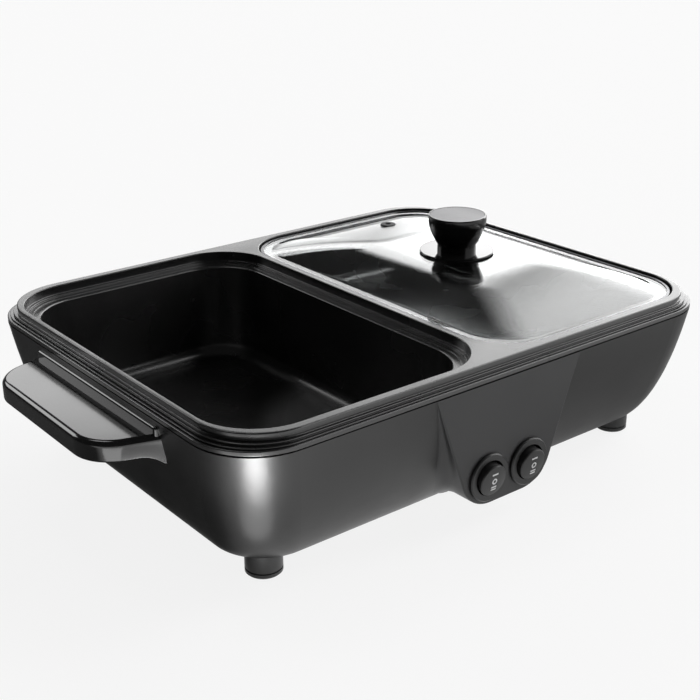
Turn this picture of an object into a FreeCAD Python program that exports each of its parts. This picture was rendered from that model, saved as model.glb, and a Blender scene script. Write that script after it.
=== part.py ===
"""Electric hot pot with a loose glass lid: a cast tray with two basins on a painted casing.

Millimetres. The origin is on the table under the middle of the body, +X to the lid side,
+Y to the back and +Z up.
"""

import FreeCAD, Part
import math
import os

from FreeCAD import Rotation, Vector

# ---------------------------------------------------------------- driving dimensions

# Tray rim: a flange at the foot, a narrower lip on top.
rim_length = 290.0
rim_width = 224.8
rim_corner_radius = 30.8
deck_height = 78.8
rim_height = 7.5
lip_setback_x = 4.3
lip_setback_y = 3.1
lip_corner_radius = 30.1
# Depth of each step's foot below the lip, and how far out it stands as a share of the setback.
rim_steps = ((1.7, 0.0), (3.3, -0.1), (3.9, 0.4), (4.6, 0.28), (5.1, 0.72), (5.4, 0.6))

# Recesses for the lid, one each side of the divider.
lip_land_x = 2.2
lip_land_y = 4.4
divider_width = 3.1
recess_corner_radius = 29.0
upper_ledge_depth = 4.7
upper_ledge_width = 1.8
middle_ledge_depth = 5.7
middle_ledge_width = 2.2
lower_ledge_depth = 6.2
lower_ledge_width = 2.2

# Basins: the open pot and the shallower pan under the lid.
pot_clearance = 10.1
pan_rise = 21.3
basin_draft = 3.4
basin_floor_radius = 9.0
basin_corner_gain = 4.0
basin_wall = 2.5

# Casing: the side's curve runs from under the rim to the flat base.
seam_gap = 0.6
gasket_setback = 1.4
gasket_width = 1.45
casing_wall = 1.8
casing_top_setback = 0.2
side_bulge_setback = 6.4
side_bulge_height = 29.8
side_sweep_setback = 15.9
base_setback = 28.7
end_setback_ratio = 0.878
side_shares = (0.0, 0.15, 0.3, 0.45, 0.6, 0.72, 0.83, 0.92, 1.0)
corner_ease = 1.3
base_height = 8.4
casing_top_radius = 29.8
base_corner_radius = 21.5
base_lip = 4.0
base_ledge = 6.0
base_ledge_thickness = 1.5

# Bottom cover.
cover_thickness = 1.5
cover_gap = 0.3
vent_length = 34.0
vent_width = 3.0
vent_pitch = 8.0
vents_per_row = 6
vent_row_gap = 24.0
vent_end_flat = 0.03
cover_screw_inset = 3.2

# Feet.
foot_radius = 8.3
foot_inset_x = 8.1
foot_inset_y = 4.6
foot_edge = 0.8
foot_groove_height = 2.2
foot_groove_width = 0.7
foot_groove_depth = 0.6
foot_boss_radius = 4.4
foot_boss_height = 8.0
foot_tuck = 3.0

# Control pod on the front, flush with the rim's flange.
pod_top_half_width = 44.3
pod_low_half_width = 29.7
pod_low_height = 30.0
pod_bottom_height = 11.1
pod_corner_radius = 18.0
pod_wall = 2.0
pod_opening_half_width = 25.0
pod_opening_bottom = 13.4
pod_opening_top = 37.0
pod_tuck = 6.0
pod_screw_spacing = 45.0
pod_screw_rise = 13.0
pod_post_wall = 2.4

# Rocker switches.
switch_spacing = 25.0
switch_height = 25.0
bezel_radius = 11.5
bezel_thickness = 1.6
bezel_edge = 0.5
can_radius = 10.0
can_depth = 10.6
can_back = 1.4
well_radius = 8.45
rocker_radius = 7.6
rocker_face_height = 4.7
rocker_crown = 0.5
rocker_edge = 0.4
rocker_tail = 2.0
rocker_throw = 8.0
pivot_depth = 2.6
pivot_radius = 1.0
pivot_reach = 9.4
blade_spacing = 4.0
blade_length = 8.0
blade_height = 3.2
blade_thickness = 0.8
blade_drop = 7.2

# Handles at the two ends.
handle_reach = 26.6
handle_top_drop = 14.0
handle_thickness = 9.4
handle_root_half_width = 55.2
handle_tip_half_width = 47.0
handle_corner_radius = 20.0
handle_top_edge = 2.6
handle_bottom_edge = 1.0
handle_flange_proud = 2.4
handle_flange_half_width = 56.0
handle_flange_top_drop = 10.5
handle_flange_edge = 1.1
handle_flange_drop = 3.0
handle_sweep_run = 2.0
handle_sweep_rise = 1.6
handle_flare_run = 8.0
handle_flare_rise = 2.8
handle_screw_spacing = 70.0
handle_screw_depth = 12.0
handle_tuck = 12.0
handle_sweep_inset = 4.6

# Lid: glass in a steel rim, lying in the right recess.
lid_gap = 0.7
lid_rest_gap = 0.3
lid_rim_sheet = 0.35
lid_rim_width = 2.9
lid_glass_thickness = 2.5
glass_edge_gap = 0.15
glass_margin = 7.0
dome_rise = 8.85
dome_corner_gain = 2.0
dome_shares = ((0.0, 0.0), (0.08, 0.21), (0.19, 0.48), (0.33, 0.75), (0.49, 0.93), (0.66, 1.0))
vent_x_from_centre = 10.5
vent_y = 67.5
vent_hole_radius = 3.0
grommet_radius = 4.6
grommet_flange = 0.9
grommet_bore_radius = 1.6
grommet_step = 0.7

# Knob on the lid.
knob_shift = 1.2
knob_seal_radius = 19.2
knob_seal_thickness = 0.6
knob_disc_radius = 19.8
knob_disc_thickness = 0.7
knob_disc_edge = 0.3
knob_neck_radius = 10.3
knob_neck_height = 2.5
knob_groove_radius = 9.8
knob_groove_height = 0.7
knob_groove_slope = 0.15
knob_height = 19.1
knob_top_radius = 15.3
knob_bulge_radius = 15.0
knob_bulge_height = 13.4
knob_rim_radius = 14.6
knob_rim_edge = 0.3
knob_belly = 0.3
knob_cap_recess = 0.7
knob_cap_gap = 0.05
knob_cap_edge = 0.2
knob_cap_thickness = 0.6
knob_bore_depth = 11.0
lid_screw_radius = 2.4
lid_hole_radius = 3.0
lid_washer_radius = 8.0
lid_washer_thickness = 1.2
lid_screw_head_radius = 4.4
lid_screw_head_height = 2.4

# Heating elements under the basins.
heater_radius = 3.3
heater_gap = 0.1
heater_half_width = 34.0
heater_half_length = 66.0
heater_corner_radius = 20.0
heater_mouth = 13.0
heater_pin_radius = 1.2
heater_pin_length = 9.0
bar_length = 84.0
bar_width = 12.0
bar_thickness = 1.2
bar_corner_radius = 2.0
bar_spacing = 60.0
bar_boss_radius = 5.0
bar_screw_radius = 2.0
bar_screw_head_radius = 3.6
bar_screw_head_height = 1.5
bar_screw_bite = 5.0

# Thermostats and fuses under the basins.
thermostat_radius = 8.0
thermostat_height = 5.5
thermostat_ear_length = 29.0
thermostat_ear_width = 8.0
thermostat_ear_thickness = 0.8
thermostat_ear_radius = 3.0
thermostat_tab_length = 7.0
thermostat_tab_offset = 5.0
thermostat_tab_rise = 0.8
thermostat_screw_radius = 1.4
thermostat_screw_spacing = 22.0
thermostat_screw_bite = 1.3
thermostat_screw_head_radius = 2.6
thermostat_screw_head_height = 1.2
fuse_radius = 2.0
fuse_length = 16.0
fuse_offset = 19.6
fuse_clip_thickness = 0.6
fuse_clip_width = 8.0
fuse_clip_half_length = 3.8
fuse_lead_radius = 0.5
fuse_lead_length = 9.0

# Heat shield under the pan.
shield_drop = 11.4
shield_thickness = 0.6
shield_half_width = 52.0
shield_half_length = 74.0
shield_corner_radius = 12.0
shield_post_radius = 3.6
shield_post_inset = 7.0
shield_screw_radius = 1.5
shield_screw_bite = 6.0
shield_screw_head_radius = 3.0
shield_screw_head_height = 1.6

# Tie screws between the bottom cover and the divider.
tie_screw_spacing = 55.0
tie_screw_radius = 2.0
tie_boss_radius = 4.2
tie_boss_length = 20.0
tie_screw_bite = 12.0
tie_head_radius = 3.8
tie_head_height = 2.2

# Power inlet at the back, under the pan.
inlet_height = 29.0
inlet_pod_half_width = 30.0
inlet_pod_half_height = 15.0
inlet_pod_corner_radius = 7.0
inlet_flange_width = 50.0
inlet_flange_height = 23.0
inlet_flange_radius = 4.0
inlet_flange_thickness = 2.6
inlet_body_width = 27.4
inlet_body_height = 19.8
inlet_body_radius = 3.0
inlet_body_depth = 15.0
inlet_socket_width = 24.0
inlet_socket_height = 16.4
inlet_socket_radius = 2.4
inlet_socket_depth = 15.2
inlet_window_gap = 0.1
inlet_screw_tail = 1.0
inlet_screw_spacing = 40.0
inlet_pin_spacing = 14.0
inlet_pin_rise = 4.0
inlet_pin_width = 4.0
inlet_pin_thickness = 2.0
inlet_pin_inside = 13.0
inlet_pin_tail = 8.0

# Terminal block on the bottom cover.
block_length = 44.0
block_width = 16.0
block_height = 12.0
block_ways = 4
block_way_radius = 2.4
block_way_height = 7.4
block_corner_radius = 1.5
block_back_gap = 31.7
block_screw_radius = 1.5
block_screw_bite = 3.6

# Small screws and running clearances.
screw_radius = 1.6
screw_head_radius = 3.0
screw_head_height = 1.8
screw_bite = 5.0
handle_screw_radius = 2.0
handle_screw_head_radius = 3.8
handle_screw_head_height = 2.4
thread_gap = 0.05
hole_gap = 0.3
fit_gap = 0.1
tip_gap = 0.5
head_round_share = 0.35
slot_overrun = 1.0
slot_width = 0.8
slot_depth = 0.7
seat_pad_height = 1.2
seat_pad_margin = 0.8
seat_pad_depth = 10.0

# Wires.
wire_radius = 1.1
wire_sink = 1.2
wire_entry = 3.0
wire_lead = 5.0
wire_run_height = 7.0
wire_run_offset = (36.0, 29.0)
wire_run_reach = (31.8, 24.8)
wire_straight = 57.0
wire_drop_run = 9.0
bend_share = 0.45

# How far a cut runs past the face that it opens, and the length of a hole through any wall.
past = 1.0
through = 30.0

# ---------------------------------------------------------------- places worked out from them

UP = Vector(0, 0, 1)
flange_half_x = rim_length / 2
flange_half_y = rim_width / 2
flange_bottom = deck_height - rim_height
lip_half_x = flange_half_x - lip_setback_x
lip_half_y = flange_half_y - lip_setback_y
recess_half_y = lip_half_y - lip_land_y
recess_half_x = (lip_half_x - lip_land_x - divider_width / 2) / 2
recess_centre_x = divider_width / 2 + recess_half_x
basin_inset = upper_ledge_width + middle_ledge_width + lower_ledge_width
casing_top = flange_bottom - seam_gap
base_half_x = flange_half_x - base_setback * end_setback_ratio
base_half_y = flange_half_y - base_setback
block_y = base_half_y - block_back_gap
cover_top = base_height + cover_thickness
ledge_top = cover_top + base_ledge_thickness
pot_underside = cover_top + pot_clearance
pan_underside = pot_underside + pan_rise
pot_depth = deck_height - basin_wall - pot_underside
pan_depth = deck_height - basin_wall - pan_underside
front_plane = -flange_half_y
back_plane = flange_half_y
side = {"left": -1, "right": 1}

# Screw sizes: shank radius, head radius, head height.
small_screw = (screw_radius, screw_head_radius, screw_head_height)
handle_screw = (handle_screw_radius, handle_screw_head_radius, handle_screw_head_height)
bar_screw = (bar_screw_radius, bar_screw_head_radius, bar_screw_head_height)
thermostat_screw = (thermostat_screw_radius, thermostat_screw_head_radius, thermostat_screw_head_height)
shield_screw = (shield_screw_radius, shield_screw_head_radius, shield_screw_head_height)
tie_screw = (tie_screw_radius, tie_head_radius, tie_head_height)
block_screw = (block_screw_radius, screw_head_radius, screw_head_height)
lid_screw = (lid_screw_radius, lid_screw_head_radius, lid_screw_head_height)


# ---------------------------------------------------------------- drawing helpers

def rounded_rectangle(half_x, half_y, radius, centre=(0, 0), z=0.0):
    """A level outline with round corners, as a wire."""
    cx, cy = centre
    k = radius * (1 - math.sqrt(0.5))
    x, y, r = half_x, half_y, radius
    edges = []
    for sx, sy, flip in ((1, 1, False), (-1, 1, True), (-1, -1, False), (1, -1, True)):
        on_end = Vector(cx + sx * x, cy + sy * (y - r), z)
        on_side = Vector(cx + sx * (x - r), cy + sy * y, z)
        middle = Vector(cx + sx * (x - k), cy + sy * (y - k), z)
        first, last = (on_side, on_end) if flip else (on_end, on_side)
        edges.append((first, middle, last))
    outline = []
    for index, (first, middle, last) in enumerate(edges):
        outline.append(Part.Arc(first, middle, last).toShape())
        following = edges[(index + 1) % 4][0]
        outline.append(Part.LineSegment(last, following).toShape())
    return Part.Wire(outline)


def slab(half_x, half_y, radius, low, high, centre=(0, 0)):
    """A level plate with round corners between two heights."""
    wire = rounded_rectangle(half_x, half_y, radius, centre, low)
    return Part.Face(wire).extrude(UP * (high - low))


def block(low, high):
    """A box between two opposite corners."""
    size = [b - a for a, b in zip(low, high)]
    return Part.makeBox(size[0], size[1], size[2], Vector(*low))


def rod(radius, start, direction, length):
    """A cylinder from a point along a direction."""
    return Part.makeCylinder(radius, length, Vector(*start), Vector(*direction))


def turned(profile, centre=(0, 0, 0), axis="z"):
    """A solid of revolution from (radius, height) points joined by straight lines."""
    points = [Vector(r, 0, h) for r, h in profile]
    solid = Part.Face(Part.makePolygon(points + points[:1])).revolve(Vector(), UP, 360)
    if axis == "front":
        solid.rotate(Vector(), Vector(1, 0, 0), 90)
    if axis == "back":
        solid.rotate(Vector(), Vector(1, 0, 0), -90)
    solid.translate(Vector(*centre))
    return solid


def together(shapes):
    """One solid from pieces that overlap or touch."""
    joined = shapes[0]
    for shape in shapes[1:]:
        joined = joined.fuse(shape)
    return joined.removeSplitter()


def group(shapes):
    """Separate solids kept in one node."""
    return Part.makeCompound(shapes)


def mirrored(shape):
    """The same piece on the other side of the middle."""
    return shape.mirror(Vector(), Vector(1, 0, 0))


def round_edges(solid, radius, wanted):
    """Rounds the edges for which wanted(edge) holds."""
    return solid.makeFillet(radius, [edge for edge in solid.Edges if wanted(edge)])


def at_height(z, tolerance=1e-3):
    """A test for edges that lie level at one height."""
    def test(edge):
        box = edge.BoundBox
        return abs(box.ZMin - z) < tolerance and abs(box.ZMax - z) < tolerance
    return test


def pan_head_screw(sizes, bite, seat, direction):
    """A slotted screw: its head stands on the seat against the direction that it points."""
    radius, head_radius, head_height = sizes
    point = Vector(*direction)
    head_low = Vector(*seat) - point * head_height
    shank = Part.makeCylinder(radius, bite, Vector(*seat), point)
    head = Part.makeCylinder(head_radius, head_height, head_low, point)
    head = round_edges(head, head_height * head_round_share, lambda edge: is_circle_at(edge, head_low))
    across = point.cross(Vector(1, 0, 0)) if abs(point.x) < 0.5 else point.cross(UP)
    along = point.cross(across)
    length = 2 * (head_radius + slot_overrun)
    slot = Part.makeBox(length, slot_width, slot_depth, Vector(-length / 2, -slot_width / 2, 0))
    slot.Placement = FreeCAD.Placement(head_low, Rotation(along, across, point, "ZXY"))
    return together([head, shank]).cut(slot)


def is_circle_at(edge, centre):
    """Whether an edge is a circle round one point."""
    return isinstance(edge.Curve, Part.Circle) and (edge.Curve.Center - centre).Length < 1e-6


def bent_path(points):
    """A wire through the points: straight runs, with a tangent arc at each turn."""
    corners = [Vector(*point) for point in points]
    runs = [(b - a).Length for a, b in zip(corners, corners[1:])]
    edges = []
    start = corners[0]
    for index in range(1, len(corners) - 1):
        corner = corners[index]
        back = (corners[index - 1] - corner).normalize()
        ahead = (corners[index + 1] - corner).normalize()
        cut = bend_share * min(runs[index - 1], runs[index])
        half_turn = (math.pi - back.getAngle(ahead)) / 2
        first, last = corner + back * cut, corner + ahead * cut
        middle = corner + (back + ahead).normalize() * (cut * math.tan(half_turn / 2))
        edges.append(Part.LineSegment(start, first).toShape())
        edges.append(Part.Arc(first, middle, last).toShape())
        start = last
    edges.append(Part.LineSegment(start, corners[-1]).toShape())
    return Part.Wire(edges)


def tube(radius, path):
    """A round bar along a wire of straight runs and tangent arcs."""
    start = path.Vertexes[0].Point
    direction = path.Edges[0].tangentAt(path.Edges[0].FirstParameter)
    section = Part.Wire(Part.Circle(start, direction, radius).toShape())
    return path.makePipeShell([section], True, True)


# ---------------------------------------------------------------- cooking tray

def recess_outline(inset, low, high, sign):
    """A plate with the outline of one lid recess, made smaller all round by the inset."""
    radius = recess_corner_radius - inset
    centre = (sign * recess_centre_x, 0)
    return slab(recess_half_x - inset, recess_half_y - inset, radius, low, high, centre)


def basin_shape(depth, offset, sign):
    """The hollow of a basin, or its outside when it is grown by the wall."""
    top = deck_height - lower_ledge_depth
    floor = deck_height - depth - offset
    centre = (sign * recess_centre_x, 0)
    radius = recess_corner_radius - basin_inset + basin_corner_gain + offset
    half_x = recess_half_x - basin_inset + offset
    half_y = recess_half_y - basin_inset + offset
    upper = rounded_rectangle(half_x, half_y, radius, centre, top)
    lower = rounded_rectangle(
        half_x - basin_draft, half_y - basin_draft, radius - basin_draft / 2, centre, floor
    )
    solid = Part.makeLoft([lower, upper], True, True)
    return round_edges(solid, basin_floor_radius + offset, at_height(floor))


def basin_cut(depth, sign):
    """Everything that is open over one basin: recess, ledges and the basin itself."""
    over = deck_height + past
    upper = deck_height - upper_ledge_depth
    middle = deck_height - middle_ledge_depth
    lower = deck_height - lower_ledge_depth
    recess = recess_outline(0.0, upper, over, sign)
    second = recess_outline(upper_ledge_width, middle, over, sign)
    third = recess_outline(upper_ledge_width + middle_ledge_width, lower, over, sign)
    return together([recess, second, third, basin_shape(depth, 0.0, sign)])


def rim_body():
    """The rim and deck before the recesses are cut: a stack of stepped plates."""
    plates = []
    foot = deck_height
    for depth, share in rim_steps + ((rim_height, 1.0),):
        top, foot = foot, deck_height - depth
        half_x = lip_half_x + share * lip_setback_x
        half_y = lip_half_y + share * lip_setback_y
        radius = lip_corner_radius + share * (rim_corner_radius - lip_corner_radius)
        plates.append(slab(half_x, half_y, radius, foot, top))
    return together(plates)


def tie_places():
    """Plan places of the tie screws along the divider."""
    return [(0.0, step * tie_screw_spacing) for step in (-1, 0, 1)]


def bar_places(sign):
    """Plan places of the pressure bar screws under one basin."""
    return [(sign * recess_centre_x, step * bar_spacing / 2) for step in (-1, 1)]


def shield_places():
    """Plan places of the heat shield's posts under the pan."""
    x = shield_half_width - shield_post_inset
    y = shield_half_length - shield_post_inset
    return [(recess_centre_x + i * x, j * y) for i in (-1, 1) for j in (-1, 1)]


def boss(place, radius, top, bottom, bore, bore_depth):
    """A round boss with a blind hole up from its foot, as a pair (solid, hole)."""
    x, y = place
    solid = rod(radius, (x, y, bottom), (0, 0, 1), top - bottom)
    hole = rod(bore, (x, y, bottom - past), (0, 0, 1), past + bore_depth)
    return solid, hole


def bar_seat(underside):
    """Height of the face of the bosses that the pressure bars press against."""
    return underside - 2 * (heater_radius + heater_gap)


def make_cooking_tray():
    """The cast tray: rim, deck, ledges, both basins and the bosses under them."""
    solids = [rim_body(), basin_shape(pot_depth, basin_wall, -1), basin_shape(pan_depth, basin_wall, 1)]
    holes = [basin_cut(pot_depth, -1), basin_cut(pan_depth, 1)]
    for place in tie_places():
        low = flange_bottom - tie_boss_length
        bore_depth = tie_screw_bite + tip_gap
        bore = tie_screw_radius + thread_gap
        solid, hole = boss(place, tie_boss_radius, flange_bottom + past, low, bore, bore_depth)
        solids.append(solid)
        holes.append(hole)
    for sign, underside in ((-1, pot_underside), (1, pan_underside)):
        for place in bar_places(sign):
            seat = bar_seat(underside)
            bore_depth = bar_screw_bite - bar_thickness + tip_gap
            bore = bar_screw_radius + thread_gap
            solid, hole = boss(place, bar_boss_radius, underside + past, seat, bore, bore_depth)
            solids.append(solid)
            holes.append(hole)
        for step in (-1, 1):
            x = sign * recess_centre_x + step * thermostat_screw_spacing / 2
            bite = past + thermostat_screw_bite + tip_gap
            holes.append(rod(thermostat_screw_radius + thread_gap, (x, 0, underside - past), (0, 0, 1), bite))
    for place in shield_places():
        low = pan_underside - shield_drop
        bore_depth = shield_screw_bite + tip_gap
        bore = shield_screw_radius + thread_gap
        solid, hole = boss(place, shield_post_radius, pan_underside + past, low, bore, bore_depth)
        solids.append(solid)
        holes.append(hole)
    tray = together(solids)
    for hole in holes:
        tray = tray.cut(hole)
    return tray


def make_tray_gasket():
    """The dark gasket in the seam between the tray's flange and the casing."""
    outer = slab(flange_half_x - gasket_setback, flange_half_y - gasket_setback,
                 rim_corner_radius - gasket_setback, casing_top, flange_bottom)
    inset = gasket_setback + gasket_width
    inner = slab(flange_half_x - inset, flange_half_y - inset, rim_corner_radius - inset,
                 casing_top, flange_bottom)
    return outer.cut(inner)


# ---------------------------------------------------------------- casing and bottom cover

def side_curve(share):
    """A point of the casing's side and its inward normal: (setback, height, normal)."""
    points = (
        (casing_top_setback, casing_top),
        (side_bulge_setback, side_bulge_height),
        (side_sweep_setback, base_height),
        (base_setback, base_height),
    )
    t, u = share, 1 - share
    weights = (u ** 3, 3 * u * u * t, 3 * u * t * t, t ** 3)
    slopes = (-3 * u * u, 3 * u * u - 6 * u * t, 6 * u * t - 3 * t * t, 3 * t * t)
    setback, height = (sum(w * p[i] for w, p in zip(weights, points)) for i in (0, 1))
    run, rise = (sum(w * p[i] for w, p in zip(slopes, points)) for i in (0, 1))
    length = math.hypot(run, rise)
    return setback, height, (-rise / length, run / length)


def casing_solid(grow_inward=0.0, lift=0.0):
    """The casing's outside as a solid, or its inside when it is offset inward."""
    sections = []
    places = [side_curve(share) for share in side_shares]
    if lift:
        setback, height, normal = places[0]
        places.insert(0, (setback, height + lift, normal))
    for setback, height, (inward, upward) in places:
        setback = setback + grow_inward * inward
        height = height + grow_inward * upward
        weight = (max(setback, 0.0) / (base_setback + grow_inward)) ** corner_ease
        radius = casing_top_radius + (base_corner_radius - casing_top_radius) * weight - grow_inward
        half_x = flange_half_x - setback * end_setback_ratio
        half_y = flange_half_y - setback
        sections.append(rounded_rectangle(half_x, half_y, radius, z=height))
    return Part.makeLoft(sections, True, False)


def cover_screw_places():
    """Plan places of the screws round the edge of the bottom cover."""
    x = base_half_x - base_lip - cover_screw_inset
    y = base_half_y - base_lip - cover_screw_inset
    return [(i * x, 0.0) for i in (-1, 1)] + [(i * x / 2, j * y) for i in (-1, 1) for j in (-1, 1)]


def foot_places():
    """Plan places of the feet by name."""
    x = base_half_x - foot_inset_x
    y = base_half_y - foot_inset_y
    return {
        "front_left": (-x, -y),
        "front_right": (x, -y),
        "back_left": (-x, y),
        "back_right": (x, y),
    }


def inlet_x():
    """The inlet lies behind the middle of the pan."""
    return recess_centre_x


def make_casing(outside):
    """The painted shell, with its base ledge, foot bosses and openings."""
    shell = outside.cut(casing_solid(casing_wall, past))
    frame = slab(base_half_x + base_ledge, base_half_y + base_ledge, base_corner_radius,
                 base_height, ledge_top)
    bosses = [
        rod(foot_boss_radius, (x, y, base_height), (0, 0, 1), foot_boss_height)
        for x, y in foot_places().values()
    ]
    for sign in side.values():
        for seat in handle_screw_places(sign):
            bosses.append(rod(handle_screw_head_radius + seat_pad_margin, seat, (sign, 0, 0), seat_pad_depth))
    for seat in pod_screw_seats():
        bosses.append(rod(screw_head_radius + seat_pad_margin, seat, (0, -1, 0), seat_pad_depth))
    inside = together([frame] + bosses).common(outside)
    shell = together([shell, inside])
    lip, ledge = base_lip, base_lip + base_ledge
    cuts = [
        slab(base_half_x - lip, base_half_y - lip, base_corner_radius - lip, base_height - past, cover_top),
        slab(base_half_x - ledge, base_half_y - ledge, base_corner_radius - ledge, base_height,
             ledge_top + past),
        block(
            (-pod_opening_half_width, front_plane - past, pod_opening_bottom),
            (pod_opening_half_width, front_plane + base_setback + past, pod_opening_top),
        ),
    ]
    half_w = inlet_body_width / 2 + hole_gap
    half_h = inlet_body_height / 2 + hole_gap
    cuts.append(
        block(
            (inlet_x() - half_w, back_plane - base_setback - past, inlet_height - half_h),
            (inlet_x() + half_w, back_plane + past, inlet_height + half_h),
        )
    )
    for x, y in foot_places().values():
        bore_depth = past + screw_bite + tip_gap
        cuts.append(rod(screw_radius + thread_gap, (x, y, base_height - past), (0, 0, 1), bore_depth))
    for x, y in cover_screw_places():
        bore_depth = past + base_ledge_thickness + past
        cuts.append(rod(screw_radius + thread_gap, (x, y, cover_top - past), (0, 0, 1), bore_depth))
    for sign in side.values():
        for place in handle_screw_places(sign):
            start = (place[0] - sign * past, place[1], place[2])
            cuts.append(rod(handle_screw_radius + hole_gap, start, (sign, 0, 0), through))
    for place in pod_screw_places():
        cuts.append(rod(screw_radius + hole_gap, place, (0, 1, 0), through))
    for cut in cuts:
        shell = shell.cut(cut)
    return shell


def make_bottom_cover():
    """The flat plate that closes the base, with its vent slots and screw holes."""
    inset = base_lip + cover_gap
    plate = slab(base_half_x - inset, base_half_y - inset, base_corner_radius - inset, base_height, cover_top)
    first = -(vents_per_row - 1) / 2
    for sign in (-1, 1):
        for row in (-1, 1):
            for index in range(vents_per_row):
                x = sign * recess_centre_x + (first + index) * vent_pitch
                centre = (x, row * (vent_length + vent_row_gap) / 2)
                half = vent_width / 2
                plate = plate.cut(slab(half, vent_length / 2, half - vent_end_flat, base_height - past,
                                       cover_top + past, centre))
    for x, y in cover_screw_places():
        plate = plate.cut(rod(screw_radius + hole_gap, (x, y, base_height - past), (0, 0, 1), through))
    for x, y in tie_places():
        plate = plate.cut(rod(tie_screw_radius + hole_gap, (x, y, base_height - past), (0, 0, 1), through))
    x, y = block_place()
    return plate.cut(rod(block_screw_radius + hole_gap, (x, y, base_height - past), (0, 0, 1), through))


def make_foot(place, outside):
    """A rubber foot with a groove, its top shaped to the base and its screw sunk in a cup."""
    r, edge = foot_radius, foot_edge
    low, deep = foot_groove_height, foot_groove_depth
    top = base_height + foot_tuck
    profile = [
        (0, 0), (r - edge, 0), (r, edge), (r, low), (r - deep, low + 0.1),
        (r - deep, low + foot_groove_width), (r, low + foot_groove_width + 0.1), (r, top), (0, top),
    ]
    foot = turned(profile, (place[0], place[1], 0))
    foot = foot.cut(outside)
    cup = rod(screw_head_radius + hole_gap, (place[0], place[1], -past), (0, 0, 1), past + foot_cup_depth())
    hole = rod(screw_radius + hole_gap, (place[0], place[1], 0), (0, 0, 1), through)
    foot = foot.cut(cup).cut(hole)
    return max(foot.Solids, key=lambda solid: solid.Volume)


def foot_cup_depth():
    """Depth of the cup that takes the foot's screw head."""
    return base_height / 2


def make_foot_screws():
    """The four screws up through the feet into the casing's bosses."""
    screws = []
    for x, y in foot_places().values():
        seat = (x, y, foot_cup_depth())
        bite = base_height - foot_cup_depth() + screw_bite
        screws.append(pan_head_screw(small_screw, bite, seat, (0, 0, 1)))
    return group(screws)


def make_cover_screws():
    """The screws round the bottom cover."""
    bite = cover_thickness + base_ledge_thickness
    return group([
        pan_head_screw(small_screw, bite, (x, y, base_height), (0, 0, 1)) for x, y in cover_screw_places()
    ])


def make_tie_screws():
    """The long screws that pull the bottom cover and the tray together."""
    bite = flange_bottom - tie_boss_length + tie_screw_bite - base_height
    return group([pan_head_screw(tie_screw, bite, (x, y, base_height), (0, 0, 1)) for x, y in tie_places()])


# ---------------------------------------------------------------- control pod and switches

def pod_outline(inset, y):
    """The pod's front outline, narrower at the foot, with two large bottom corners."""
    lean = math.atan2(pod_top_half_width - pod_low_half_width, casing_top - pod_low_height)
    r = pod_corner_radius - inset
    bottom = pod_bottom_height + inset
    cz = pod_bottom_height + pod_corner_radius
    edge_x = pod_low_half_width + (cz - pod_low_height) * math.tan(lean)
    cx = edge_x - pod_corner_radius / math.cos(lean)
    tangent = Vector(cx + r * math.cos(lean), y, cz - r * math.sin(lean))
    mid_angle = -(math.pi / 2 + lean) / 2
    middle = Vector(cx + r * math.cos(mid_angle), y, cz + r * math.sin(mid_angle))
    low = Vector(cx, y, bottom)
    top_x = pod_top_half_width - inset / math.cos(lean)
    corner = Vector(top_x, y, casing_top)

    def other(point):
        return Vector(-point.x, point.y, point.z)

    return Part.Wire([
        Part.LineSegment(other(corner), corner).toShape(),
        Part.LineSegment(corner, tangent).toShape(),
        Part.Arc(tangent, middle, low).toShape(),
        Part.LineSegment(low, other(low)).toShape(),
        Part.Arc(other(low), other(middle), other(tangent)).toShape(),
        Part.LineSegment(other(tangent), other(corner)).toShape(),
    ])


def switch_x(sign):
    """Where one switch sits across the front."""
    return sign * switch_spacing / 2


def pod_screw_places():
    """The screws from inside the casing into the pod, above the switches."""
    z = pod_opening_top + pod_screw_rise
    return [(sign * pod_screw_spacing / 2, front_plane + pod_wall, z) for sign in (-1, 1)]


def pod_screw_seats():
    """The flat seats of the pod's screws inside the casing."""
    return [
        (x, casing_face_y(z) + casing_wall + seat_pad_height, z)
        for x, y, z in pod_screw_places()
    ]


def make_control_pod(outside):
    """The hollow pod that carries the switches, its back edge shaped to the casing."""
    depth = Vector(0, base_setback + pod_tuck, 0)
    pod = Part.Face(pod_outline(0.0, front_plane)).extrude(depth)
    hollow = Part.Face(pod_outline(pod_wall, front_plane + pod_wall)).extrude(depth)
    reach = pod_top_half_width
    hollow = hollow.common(block((-reach, front_plane, 0), (reach, 0, casing_top - pod_wall)))
    post_radius = screw_radius + pod_post_wall
    posts = [rod(post_radius, place, (0, 1, 0), base_setback) for place in pod_screw_places()]
    pod = together([pod.cut(hollow)] + posts).cut(outside)
    for sign in side.values():
        start = (switch_x(sign), front_plane - past, switch_height)
        pod = pod.cut(rod(can_radius + fit_gap, start, (0, 1, 0), past + pod_wall + past))
    for place in pod_screw_places():
        pod = pod.cut(rod(screw_radius + thread_gap, place, (0, 1, 0), base_setback))
    return max(pod.Solids, key=lambda solid: solid.Volume)


def make_pod_screws():
    """The screws that hold the pod to the casing, with their heads inside."""
    screws = []
    for seat, place in zip(pod_screw_seats(), pod_screw_places()):
        bite = seat[1] - place[1] - tip_gap
        screws.append(pan_head_screw(small_screw, bite, seat, (0, -1, 0)))
    return group(screws)


def casing_face_y(z):
    """The outside of the casing's front at one height, found along the side's curve."""
    low, high = 0.0, 1.0
    for _ in range(40):
        middle = (low + high) / 2
        if side_curve(middle)[1] > z:
            low = middle
        else:
            high = middle
    return front_plane + side_curve(low)[0]


def pivot_y():
    """Depth of the rocker's pivot."""
    return front_plane - bezel_thickness + pivot_depth


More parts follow.
